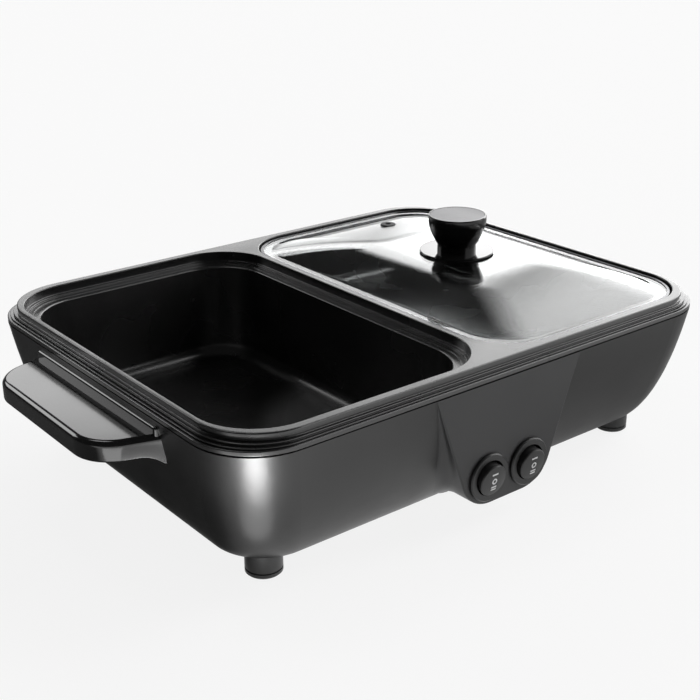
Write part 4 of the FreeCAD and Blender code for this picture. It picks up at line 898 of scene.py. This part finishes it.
@dataclass
class ControlPod:
    """The pod on the front: a flat face, leaning sides, round lower corners and hollow roots."""

    front: float = -112.4
    top: float = 70.7
    top_half: float = 44.3
    low_half: float = 29.7
    low_height: float = 30.0
    bottom: float = 11.1
    corner: float = 18.0
    wall: float = 2.0
    edge: float = 0.9
    root: float = 5.5
    tuck: float = 0.5
    hollow_top: float = 57.0
    hole_radius: float = 10.1
    switch_x: float = 12.5
    switch_z: float = 25.0
    post_x: float = 22.5
    post_z: float = 50.0
    post_radius: float = 4.0
    post_sink: float = 0.3
    hole_chamfer: float = 0.3
    # The largest shares of the pod's depth that its edge and its hollow root take up.
    edge_share: float = 0.4
    root_share: float = 0.62
    # Pieces of the side, which crowd towards the foot, and of the corner, the edge, the root and the holes.
    side_steps: int = 24
    side_crowding: float = 0.8
    corner_steps: int = 14
    edge_steps: int = 5
    root_steps: int = 8
    hole_steps: int = 64

    def casing_y(self, z: float) -> float:
        """The casing's front surface at a height."""
        return self.front + casing_setback(z)

    def outline(self) -> list[tuple[float, float, float, float]]:
        """The edge of the front face from the top left round the foot to the top right.

        Returns:
            Points of (x, z, outward x, outward z).
        """
        lean = math.atan2(self.top_half - self.low_half, self.top - self.low_height)
        cz = self.bottom + self.corner
        edge_x = self.low_half + (cz - self.low_height) * math.tan(lean)
        cx = edge_x - self.corner / math.cos(lean)
        tangent = (cx + self.corner * math.cos(lean), cz - self.corner * math.sin(lean))
        out = (math.cos(lean), -math.sin(lean))
        half = []
        for step in range(self.side_steps):
            share = (step / self.side_steps) ** self.side_crowding
            half.append((self.top_half + (tangent[0] - self.top_half) * share,
                         self.top + (tangent[1] - self.top) * share, *out))
        for step in range(self.corner_steps + 1):
            angle = -lean - (math.pi / 2 - lean) * step / self.corner_steps
            half.append((cx + self.corner * math.cos(angle), cz + self.corner * math.sin(angle),
                         math.cos(angle), math.sin(angle)))
        half.append((cx / 2, self.bottom, 0.0, -1.0))
        left = [(-x, z, -i, k) for x, z, i, k in half]
        return left + [(0.0, self.bottom, 0.0, -1.0)] + half[::-1]

    def sections(self) -> list[list[Point]]:
        """Each point of the outline, carried from the front face back to the casing and inside again.

        Returns:
            A line of places for each point of the outline.
        """
        lines = []
        for x, z, i, k in self.outline():
            depth = self.casing_y(z) - self.front
            edge, root = min(self.edge, self.edge_share * depth), min(self.root, self.root_share * depth)
            line = [(-edge * (1 - s), self.front + edge * (1 - c)) for s, c in quarter(self.edge_steps)]
            start, bend = self.front + depth - root, self.front + depth
            end = self.casing_y(max(z + k * root, CASING_SIDE[-1][1] + 0.1))
            for step in range(self.root_steps + 1):
                t = step / self.root_steps
                u = 1 - t
                line.append((root * t * t, u * u * start + 2 * u * t * bend + t * t * end))
            line.append((root, end + self.tuck))
            points = [(x + i * offset, y, z + k * offset) for offset, y in line]
            if z <= self.hollow_top:
                inner_x, inner_z = x - i * self.wall, z - k * self.wall
            else:
                sides = ((self.low_height, self.low_half), (self.top, self.top_half))
                inner_x = math.copysign(between(sides, self.hollow_top) - self.wall, x)
                inner_z = self.hollow_top
            back = self.casing_y(inner_z) + self.tuck
            points += [(inner_x, y, inner_z) for y in (back, self.front + self.wall)]
            lines.append(points)
        return lines

    def build(self) -> None:
        """Makes the pod as one hollow moulding with two round holes."""
        skin = Skin()
        rows = [skin.row(points) for points in zip(*self.sections())]
        skin.sweep(rows)
        fronts, backs = [], []
        for side in (-1, 1):
            x = side * self.switch_x
            cut = self.hole_chamfer
            rings = [skin.row((x + u, self.front + y, self.switch_z + v)
                              for u, v in circle(self.hole_radius + wider, self.hole_steps))
                     for wider, y in ((cut, 0.0), (0.0, cut), (0.0, self.wall))]
            skin.sweep(rings)
            fronts.append(rings[0])
            backs.append(rings[-1])
        skin.fill(rows[0], *fronts)
        skin.fill(rows[-1], *backs)
        depth = self.casing_y(self.post_z) - self.front + self.tuck
        r, foot = self.post_radius, self.wall - self.post_sink
        for side in (-1, 1):
            profile = [(0.0, foot), (r, foot), (r, depth), (0.0, depth)]
            skin.turn(profile, (side * self.post_x, self.front, self.post_z), Axis.Y, 24)
        place(skin.settle("control_pod_moulding", "pod_plastic"), "cooker", "control_pod")


# ---- handles


@dataclass
class Handles:
    """The two end handles: a slab with leaning sides, a flared root and a ridge along the casing."""

    tip_x: float = 171.6
    root_half: float = 55.2
    tip_half: float = 47.0
    lean_run: float = 26.6
    corner: float = 20.0
    top: float = 64.8
    bottom: float = 55.4
    top_edge: float = 2.6
    bottom_edge: float = 1.0
    flare_run: float = 11.0
    flare_drop: float = 4.6
    flare_power: float = 2.3
    side_steps: int = 16
    corner_steps: int = 16
    tip_steps: int = 4
    tuck: float = 0.6
    ridge_face: float = 145.9
    ridge_half: float = 54.6
    ridge_top: float = 68.1
    ridge_edge: float = 1.2
    ridge_root: float = 3.0
    ridge_depth: float = 1.6
    ridge_flat: float = 0.05

    def outline(self, inset: float, z: float) -> list[tuple[float, float]]:
        """Half of the slab's outline at a height, from the casing round to the middle of the tip.

        Args:
            inset: how far it lies inside the full outline.
            z: the height, which says where the casing is.

        Returns:
            Points of (distance from the middle, depth).
        """
        lean = math.atan2(self.root_half - self.tip_half, self.lean_run)
        radius = self.corner - inset
        corner_x = self.tip_x - self.corner
        corner_y = self.tip_half + self.corner * math.tan(lean) - self.corner / math.cos(lean)
        root = CASING_HALF_X - CASING_END_RATIO * casing_setback(z) - self.tuck
        side = (corner_x + radius * math.sin(lean), corner_y + radius * math.cos(lean))
        start_y = side[1] + (side[0] - root) * math.tan(lean)
        count = self.side_steps
        half = [(root + (side[0] - root) * step / count, start_y + (side[1] - start_y) * step / count)
                for step in range(count)]
        for step in range(self.corner_steps + 1):
            angle = (math.pi / 2 - lean) * (1 - step / self.corner_steps)
            half.append((corner_x + radius * math.cos(angle), corner_y + radius * math.sin(angle)))
        half += [(self.tip_x - inset, corner_y * (1 - step / self.tip_steps))
                 for step in range(1, self.tip_steps)]
        return half

    def drop(self, distance: float, z: float) -> float:
        """How far the underside hangs down near the casing."""
        reach = distance - (CASING_HALF_X - CASING_END_RATIO * casing_setback(z))
        return self.flare_drop * max(0.0, 1.0 - max(0.0, reach) / self.flare_run) ** self.flare_power

    def slab_row(self, skin: Skin, side: int, inset: float, z: float, low: bool) -> Row:
        """Adds one row round the slab.

        Args:
            skin: the handle's surface.
            side: -1 for the left handle, 1 for the right one.
            inset: how far the row lies inside the full outline.
            z: its height away from the casing.
            low: whether it follows the flare of the underside.

        Returns:
            The row.
        """
        half = self.outline(inset, z)
        line = [(d, -y) for d, y in half] + [(d, y) for d, y in reversed(half)]
        return skin.row((side * d, y, z - (self.drop(d, z) if low else 0.0)) for d, y in line)

    def build(self) -> None:
        """Makes both handles."""
        top, low = self.top_edge, self.bottom_edge
        levels = [(top * (1 - s), self.top - top * (1 - c), False) for s, c in quarter(8)]
        levels.append((0.0, (self.top + self.bottom) / 2, False))
        levels += [(low * (1 - c), self.bottom + low * (1 - s), True) for s, c in quarter(5)]
        for side, label in SIDES:
            skin = Skin()
            rows = [self.slab_row(skin, side, *level) for level in levels]
            skin.sweep(rows)
            skin.bridge(rows[0])
            skin.bridge(rows[-1])
            self.add_ridge(skin, side)
            place(skin.settle(label + "_handle_moulding", "handle_plastic"), "cooker", label + "_handle")

    def add_ridge(self, skin: Skin, side: int) -> None:
        """Adds the ridge on the slab along the casing.

        Args:
            skin: the handle's surface.
            side: -1 for the left handle, 1 for the right one.
        """
        half_x = (self.ridge_face - (CASING_HALF_X - self.tuck - self.ridge_depth)) / 2
        centre = side * (self.ridge_face - half_x)
        edge = self.ridge_edge
        profile = [(0.0, self.top - self.ridge_root)]
        profile += [(edge * (c - 1), self.ridge_top - edge * (1 - s)) for s, c in quarter(6)]
        rows = [skin.row(plan_row(half_x + out, self.ridge_half + out, half_x - self.ridge_flat + out, z,
                                  centre, 10)) for out, z in profile]
        skin.sweep(rows)
        skin.fill(rows[0])
        skin.fill(rows[-1])


# ---- switch marks


class Mark(Enum):
    """The three positions printed on a rocker, from the top down."""

    ONE = "bar"
    OFF = "ring"
    TWO = "two bars"


@dataclass
class SwitchMarks:
    """The white prints on the two rockers, laid on their crowned faces."""

    switch_x: float = 12.5
    switch_z: float = 25.0
    pivot_y: float = -111.4
    tilt: float = 8.0
    face: float = 4.7
    crown: float = 0.5
    radius: float = 7.2
    spacing: float = 3.6
    lift: float = 0.08
    bar_half: float = 1.75
    line_half: float = 0.40
    ring_radius: float = 1.15
    bar_gap: float = 0.66
    # The print's depth in the face; the ring's line and the paired bars as shares of the single bar's.
    sink: float = 0.05
    ring_line: float = 0.9
    pair_length: float = 0.9
    ring_steps: int = 32

    def on_face(self, side: int, u: float, v: float, lift: float) -> Point:
        """A place on a rocker's face.

        Args:
            side: -1 for the left rocker, 1 for the right one.
            u: distance across.
            v: distance up the face.
            lift: distance out of the face.

        Returns:
            The place.
        """
        crown_radius = (self.radius ** 2 + self.crown ** 2) / (2 * self.crown)
        reach = u * u + v * v
        out = self.face + self.crown - (crown_radius - math.sqrt(crown_radius ** 2 - reach)) + lift
        tilt = math.radians(self.tilt)
        y = self.pivot_y - out * math.cos(tilt) - v * math.sin(tilt)
        z = self.switch_z - out * math.sin(tilt) + v * math.cos(tilt)
        return side * self.switch_x + u, y, z

    def bar(self, skin: Skin, side: int, v: float, half: float) -> None:
        """Adds one printed bar.

        Args:
            skin: the marks' surface.
            side: -1 for the left rocker, 1 for the right one.
            v: its place up the face.
            half: half its length.
        """
        flat = [(half * i, v + self.line_half * j)
                for i, j in ((-1, -1), (0, -1), (1, -1), (1, 1), (0, 1), (-1, 1))]
        rows = [skin.row(self.on_face(side, a, b, lift) for a, b in flat)
                for lift in (-self.sink, self.lift)]
        skin.sweep(rows)
        skin.fill(rows[0])
        skin.fill(rows[1])

    def ring(self, skin: Skin, side: int, v: float) -> None:
        """Adds one printed ring.

        Args:
            skin: the marks' surface.
            side: -1 for the left rocker, 1 for the right one.
            v: its place up the face.
        """
        rows = []
        low, high = -self.sink, self.lift
        for way, lift in ((1, low), (1, high), (-1, high), (-1, low), (1, low)):
            radius = self.ring_radius + way * self.line_half * self.ring_line
            points = circle(radius, self.ring_steps)
            rows.append(skin.row(self.on_face(side, a, v + b, lift) for a, b in points))
        skin.sweep(rows)

    def build(self) -> None:
        """Prints the three marks on each rocker."""
        for side, label in SIDES:
            skin = Skin()
            for mark, v in zip(Mark, (self.spacing, 0.0, -self.spacing)):
                if mark is Mark.OFF:
                    self.ring(skin, side, v)
                elif mark is Mark.ONE:
                    self.bar(skin, side, v, self.bar_half)
                else:
                    for step in (-self.bar_gap, self.bar_gap):
                        self.bar(skin, side, v + step, self.bar_half * self.pair_length)
            piece = skin.settle(label + "_rocker_marks", "print_white")
            place(piece, label + "_switch_rocker")


# ---- parts made by geometry nodes


def new_tree(name: str, sizes: dict[str, float | int]) -> Nodes:
    """Starts a geometry tree with geometry in and out, named sizes and a finish.

    Args:
        name: the tree's name.
        sizes: each size's name and value; a whole number makes a whole input.

    Returns:
        Its nodes.
    """
    inputs = [(label, "Int" if isinstance(value, int) else "Float", value)
              for label, value in sizes.items()]
    inputs = [("Geometry", "Geometry", None), *inputs, ("Finish", "Material", None)]
    return new_group(name, TreeKind.GEOMETRY, inputs, ("Geometry",))


def close_tree(nodes: Nodes, made: Socket) -> bpy.types.NodeTree:
    """Ends a geometry tree: instances made real and the finish set.

    Args:
        nodes: its nodes.
        made: the socket of what it makes.

    Returns:
        The tree.
    """
    real = nodes.out("GeometryNodeRealizeInstances", {0: made})
    dressed = nodes.out("GeometryNodeSetMaterial", {"Geometry": real, "Material": nodes.entry["Finish"]})
    nodes.add("NodeGroupOutput", {0: dressed})
    return nodes.tree


def run_tree(piece: bpy.types.Object, tree: bpy.types.NodeTree, sizes: dict[str, float], slot: str) -> None:
    """Puts a tree on a piece, sets its inputs and keeps what it makes as a plain smooth mesh.

    Args:
        piece: the piece that holds the tree's input geometry.
        tree: the geometry tree.
        sizes: the named inputs' values in millimetres.
        slot: the finish's slot.
    """
    modifier = piece.modifiers.new("maker", "NODES")
    modifier.node_group = tree
    for socket in tree.interface.items_tree:
        if socket.item_type == "SOCKET" and socket.in_out == "INPUT" and socket.name in sizes:
            modifier[socket.identifier] = sizes[socket.name] * MM
        elif socket.name == "Finish":
            modifier[socket.identifier] = FINISHES[slot].material()
    bpy.context.collection.objects.link(piece)
    settled(piece, slot)
    work = bmesh.new()
    work.from_mesh(piece.data)
    smooth(work, piece.data)


@dataclass
class LidGlass:
    """The lid's glass: a flat margin, a dome that rises smoothly, and a flat crown with the screw's hole."""

    centre_x: float = 70.025
    half_x: float = 67.275
    half_y: float = 103.7
    corner: float = 27.8
    foot: float = 74.825
    thickness: float = 2.5
    dome_half_x: float = 61.475
    dome_half_y: float = 97.9
    dome_corner: float = 24.0
    dome_rise: float = 8.85
    crown_share: float = 0.66
    blend: float = 1.0
    knob_x: float = 71.225
    hole: float = 3.0
    steps: int = 36
    corner_steps: int = 16
    side_cuts: int = 8
    hole_steps: int = 24

    def ring(self, skin: Skin, half_x: float, half_y: float, radius: float, z: float) -> Row:
        """Adds one level row, with its straight sides cut up so that they shade evenly.

        Args:
            skin: the surface it goes into.
            half_x: half its width.
            half_y: half its length.
            radius: its corner radius.
            z: its height.

        Returns:
            The row.
        """
        points = plan_row(half_x, half_y, radius, z, self.centre_x, self.corner_steps)
        line: list[Point] = []
        for index, (here, after) in enumerate(zip(points, points[1:] + points[:1])):
            cuts = self.side_cuts if index % (self.corner_steps + 1) == self.corner_steps else 1
            line += [tuple(a + (b - a) * cut / cuts for a, b in zip(here, after)) for cut in range(cuts)]
        return skin.row(line)

    def side(self, skin: Skin, z: float) -> tuple[Row, Row]:
        """Adds one side of the glass.

        Args:
            skin: the surface it goes into.
            z: the height of its margin.

        Returns:
            The rows round its edge and round its hole.
        """
        foot = (self.dome_half_x, self.dome_half_y, self.dome_corner)
        rows = [self.ring(skin, self.half_x, self.half_y, self.corner, z),
                self.ring(skin, *(size + self.blend for size in foot), z)]
        for step in range(self.steps + 1):
            share = self.crown_share * step / self.steps
            rise = self.dome_rise * (1 - (1 - step / self.steps) ** 2)
            rows.append(self.ring(skin, *(size * (1 - share) for size in foot), z + rise))
        skin.sweep(rows)
        hole = skin.row((self.knob_x + a, b, z + self.dome_rise)
                        for a, b in circle(self.hole, self.hole_steps))
        skin.fill(rows[-1], hole)
        return rows[0], hole

    def build(self) -> None:
        """Makes the glass in the frame's place."""
        skin = Skin()
        low, high = (self.side(skin, z) for z in (self.foot, self.foot + self.thickness))
        for first, second in zip(low, high):
            skin.sweep([first, second])
        place(skin.settle("lid_glass_dome", "lid_glass"), "lid", "lid_glass")


@dataclass
class LidRim:
    """The steel channel round the glass: a folded profile carried round the lid's outline."""

    centre_x: float = 70.025
    half_x: float = 67.775
    half_y: float = 104.2
    corner: float = 28.3
    foot: float = 74.4
    height: float = 3.35
    width: float = 1.8
    sheet: float = 0.35
    fold: float = 1.0

    def profile(self) -> Profile:
        """The folded sheet's section.

        Returns:
            Its points, from the lower lip round to the upper lip and back inside.
        """
        w, h, t, f = -self.width, self.height, self.sheet, self.fold
        outside = rounded([(w, 0.0, 0.0), (0.0, 0.0, f), (0.0, h, f), (w, h, 0.0)], 6)
        inside = rounded([(w, h - t, 0.0), (-t, h - t, f - t), (-t, t, f - t), (w, t, 0.0)], 6)
        return outside + inside

    def tree(self) -> bpy.types.NodeTree:
        """The tree that carries a section round a rectangle with round corners.

        Returns:
            The tree.
        """
        sizes = {"Half Width": 0.06, "Half Length": 0.1, "Corner Radius": 0.02, "Centre X": 0.0,
                 "Height": 0.0, "Corner Steps": 16}
        nodes = new_tree("channel_round_lid", sizes)
        entry = nodes.entry
        path = nodes.out("GeometryNodeCurvePrimitiveQuadrilateral",
                         {"Width": nodes.times(entry["Half Width"], 2.0),
                          "Height": nodes.times(entry["Half Length"], 2.0)})
        rounds = {"Curve": path, "Count": entry["Corner Steps"], "Radius": entry["Corner Radius"]}
        corners = nodes.out("GeometryNodeFilletCurve", rounds, mode="POLY")
        spot = nodes.vector(X=entry["Centre X"], Z=entry["Height"])
        moved = nodes.out("GeometryNodeTransform", {"Geometry": corners, "Translation": spot})
        upright = nodes.out("GeometryNodeSetCurveNormal", {0: moved}, mode="Z_UP")
        section = nodes.out("GeometryNodeMeshToCurve", {0: entry["Geometry"]})
        made = nodes.out("GeometryNodeCurveToMesh", {"Curve": upright, "Profile Curve": section})
        return close_tree(nodes, made)

    def build(self) -> None:
        """Makes the channel and lays it in the frame's place."""
        line = self.profile()
        mesh = bpy.data.meshes.new("lid_rim_section")
        count = len(line)
        edges = [(k, (k + 1) % count) for k in range(count)]
        mesh.from_pydata([(x * MM, -z * MM, 0.0) for x, z in line], edges, [])
        piece = bpy.data.objects.new("lid_rim_channel", mesh)
        sizes = {"Half Width": self.half_x, "Half Length": self.half_y, "Corner Radius": self.corner,
                 "Centre X": self.centre_x, "Height": self.foot}
        run_tree(piece, self.tree(), sizes, "rim_steel")
        place(piece, "lid", "lid_rim")


@dataclass(frozen=True)
class ScrewSet:
    """The screws of one node: their sizes, and where their heads sit, which way they point and how far."""

    node: str
    shank: float
    head: float
    head_height: float
    seats: tuple[tuple[Point, Point, float], ...]


@dataclass
class Fasteners:
    """The screws of feet, cover, tray and inlet, made by one tree: a slotted domed head, a ridged shank."""

    slot_width: float = 0.8
    slot_depth: float = 0.7
    pitch: float = 0.7
    foot_x: float = 111.7
    foot_y: float = 79.1
    cover_x: float = 112.6
    cover_y: float = 76.5
    tie_spacing: float = 55.0
    inlet_x: float = 70.025
    inlet_z: float = 29.0
    inlet_spacing: float = 20.0
    # Radius of the shank, radius and height of the head.
    small: tuple[float, float, float] = (1.6, 3.0, 1.8)
    large: tuple[float, float, float] = (2.0, 3.8, 2.2)
    # A head keeps its radius up to a share of its height and loses a share of it by the crown.
    crown_start: float = 0.6
    crown_drop: float = 0.18
    ridge_share: float = 0.24
    overlap: float = 0.1
    # Points along and faces round a head and a shank.
    head_mesh: tuple[int, int] = (10, 32)
    shank_mesh: tuple[int, int] = (48, 16)

    def tree(self) -> bpy.types.NodeTree:
        """The tree that stands a screw on each point, turned to the point's own direction.

        Returns:
            The tree.
        """
        sizes = {"Head Radius": 0.003, "Head Height": 0.002, "Shank Radius": 0.0016, "Length": 0.005,
                 "Slot Width": 0.0008, "Slot Depth": 0.0007, "Pitch": 0.0007}
        nodes = new_tree("slotted_screw", sizes)
        entry = nodes.entry
        crown = nodes.times(entry["Head Height"], -1.0)
        start = -self.overlap * MM
        head = self.turned_bar(nodes, crown, 0.0, self.dome(nodes), self.head_mesh)
        shank = self.turned_bar(nodes, start, entry["Length"], self.ridges(nodes), self.shank_mesh)
        size = nodes.vector(X=nodes.times(entry["Head Radius"], 3.0), Y=entry["Slot Width"],
                            Z=nodes.times(entry["Slot Depth"], 2.0))
        slot = nodes.out("GeometryNodeMeshCube", {"Size": size})
        sunk = nodes.out("GeometryNodeTransform", {"Geometry": slot, "Translation": nodes.vector(Z=crown)})
        cut = nodes.out("GeometryNodeMeshBoolean", {"Mesh 1": head, "Mesh 2": sunk},
                        operation="DIFFERENCE", solver="EXACT")
        joined = nodes.add("GeometryNodeJoinGeometry", {0: cut})
        nodes.feed(joined.inputs[0], shank)
        axis = nodes.add("GeometryNodeInputNamedAttribute", {"Name": "points_along"},
                         data_type="FLOAT_VECTOR")
        aim = nodes.out("FunctionNodeAlignEulerToVector", {"Vector": axis.outputs["Attribute"]}, axis="Z")
        stand = {"Points": entry["Geometry"], "Instance": joined.outputs[0], "Rotation": aim}
        return close_tree(nodes, nodes.out("GeometryNodeInstanceOnPoints", stand))

    def turned_bar(self, nodes: Nodes, low: object, high: object, radius: Socket,
                   counts: tuple[int, int]) -> Socket:
        """A closed round bar along Z whose radius follows a field.

        Args:
            nodes: the tree.
            low: height of its start, a socket or a number.
            high: height of its end, a socket or a number.
            radius: the field of its radius.
            counts: points along it and faces round it.

        Returns:
            The socket of its mesh.
        """
        ends = {"Start": nodes.vector(Z=low), "End": nodes.vector(Z=high)}
        line = nodes.out("GeometryNodeCurvePrimitiveLine", ends)
        even = nodes.out("GeometryNodeResampleCurve", {"Curve": line, "Count": counts[0]})
        sized = nodes.out("GeometryNodeSetCurveRadius", {0: even, "Radius": radius})
        round_line = nodes.out("GeometryNodeCurvePrimitiveCircle", {"Resolution": counts[1], "Radius": 1.0})
        made = nodes.add("GeometryNodeCurveToMesh",
                         {"Curve": sized, "Profile Curve": round_line, "Fill Caps": True})
        if "Scale" in made.inputs:
            nodes.feed(made.inputs["Scale"], nodes.out("GeometryNodeInputRadius"))
        return made.outputs[0]

    def height_share(self, nodes: Nodes, length: Socket) -> Socket:
        """A point's height as a share of a length."""
        axes = nodes.add("ShaderNodeSeparateXYZ", {0: nodes.out("GeometryNodeInputPosition")})
        return nodes.math("DIVIDE", axes.outputs["Z"], length)

    def dome(self, nodes: Nodes) -> Socket:
        """The head's radius: full at its foot, drawn in over its last part.

        Args:
            nodes: the tree.

        Returns:
            The socket of the radius.
        """
        share = nodes.math("ABSOLUTE", self.height_share(nodes, nodes.entry["Head Height"]))
        past = nodes.math("MAXIMUM", nodes.math("SUBTRACT", share, self.crown_start), 0.0)
        part = nodes.math("DIVIDE", past, 1.0 - self.crown_start)
        drop = nodes.times(nodes.math("POWER", part, 2.0), self.crown_drop)
        return nodes.times(nodes.math("SUBTRACT", 1.0, drop), nodes.entry["Head Radius"])

    def ridges(self, nodes: Nodes) -> Socket:
        """The shank's radius: ridged at the thread's pitch.

        Args:
            nodes: the tree.

        Returns:
            The socket of the radius.
        """
        wave = nodes.math("PINGPONG", self.height_share(nodes, nodes.entry["Pitch"]), 0.5)
        left = nodes.math("SUBTRACT", 1.0, nodes.times(wave, self.ridge_share))
        return nodes.times(left, nodes.entry["Shank Radius"])

    def sets(self) -> list[ScrewSet]:
        """The nodes of screws that are made again, with their sizes and seats.

        Returns:
            The screw sets.
        """
        up, out_y = (0.0, 0.0, 1.0), (0.0, -1.0, 0.0)
        corners = [(i, j) for i in (-1, 1) for j in (-1, 1)]
        x, y = self.cover_x, self.cover_y
        upright = {
            "foot_screws": (self.small, [(i * self.foot_x, j * self.foot_y) for i, j in corners]),
            "cover_screws": (self.small, [(-x, 0.0), (x, 0.0)] + [(i * x / 2, j * y) for i, j in corners]),
            "tie_screws": (self.large, [(0.0, k * self.tie_spacing) for k in (-1, 0, 1)]),
        }
        made = []
        for node, (sizes, places) in upright.items():
            low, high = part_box(node)
            foot, tip = low[2] / MM + sizes[2], high[2] / MM
            made.append(ScrewSet(node, *sizes, tuple(((a, b, foot), up, tip - foot) for a, b in places)))
        low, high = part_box("inlet_screws")
        seat = high[1] / MM - self.small[2]
        length = seat - low[1] / MM
        seats = tuple(((self.inlet_x + k * self.inlet_spacing, seat, self.inlet_z), out_y, length)
                      for k in (-1, 1))
        return [*made, ScrewSet("inlet_screws", *self.small, seats)]

    def build(self) -> None:
        """Makes the screws of each node as one piece."""
        tree = self.tree()
        for group in self.sets():
            mesh = bpy.data.meshes.new(group.node)
            mesh.from_pydata([Vector(seat) * MM for seat, _, _ in group.seats], [], [])
            along = mesh.attributes.new("points_along", "FLOAT_VECTOR", "POINT")
            for item, (_, axis, _) in zip(along.data, group.seats):
                item.vector = axis
            piece = bpy.data.objects.new(group.node + "_slotted", mesh)
            sizes = {"Head Radius": group.head, "Head Height": group.head_height,
                     "Shank Radius": group.shank, "Length": group.seats[0][2],
                     "Slot Width": self.slot_width, "Slot Depth": self.slot_depth, "Pitch": self.pitch}
            run_tree(piece, tree, sizes, "screw_steel")
            place(piece, "cooker", group.node)


# ---- carried-over parts


def dress_frame() -> None:
    """Gives every part that still shows the finish of its own material slot."""
    for name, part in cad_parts.items():
        for index, material in enumerate(part.data.materials):
            slot = material.name.split(".")[0] if material else ""
            if slot in FINISHES:
                part.material_slots[index].material = FINISHES[slot].material()
        log.info("dressed %s", name)


def main() -> None:
    """Builds the studio and every sub-assembly in order."""
    logging.basicConfig(level=logging.INFO, format="%(message)s")
    Studio().build()
    dress_frame()
    for maker in (CookingTray(), ControlPod(), Handles(), SwitchMarks(), LidGlass(), LidRim(), Fasteners()):
        log.info("building %s", type(maker).__name__)
        maker.build()


if __name__ == "__main__":
    main()
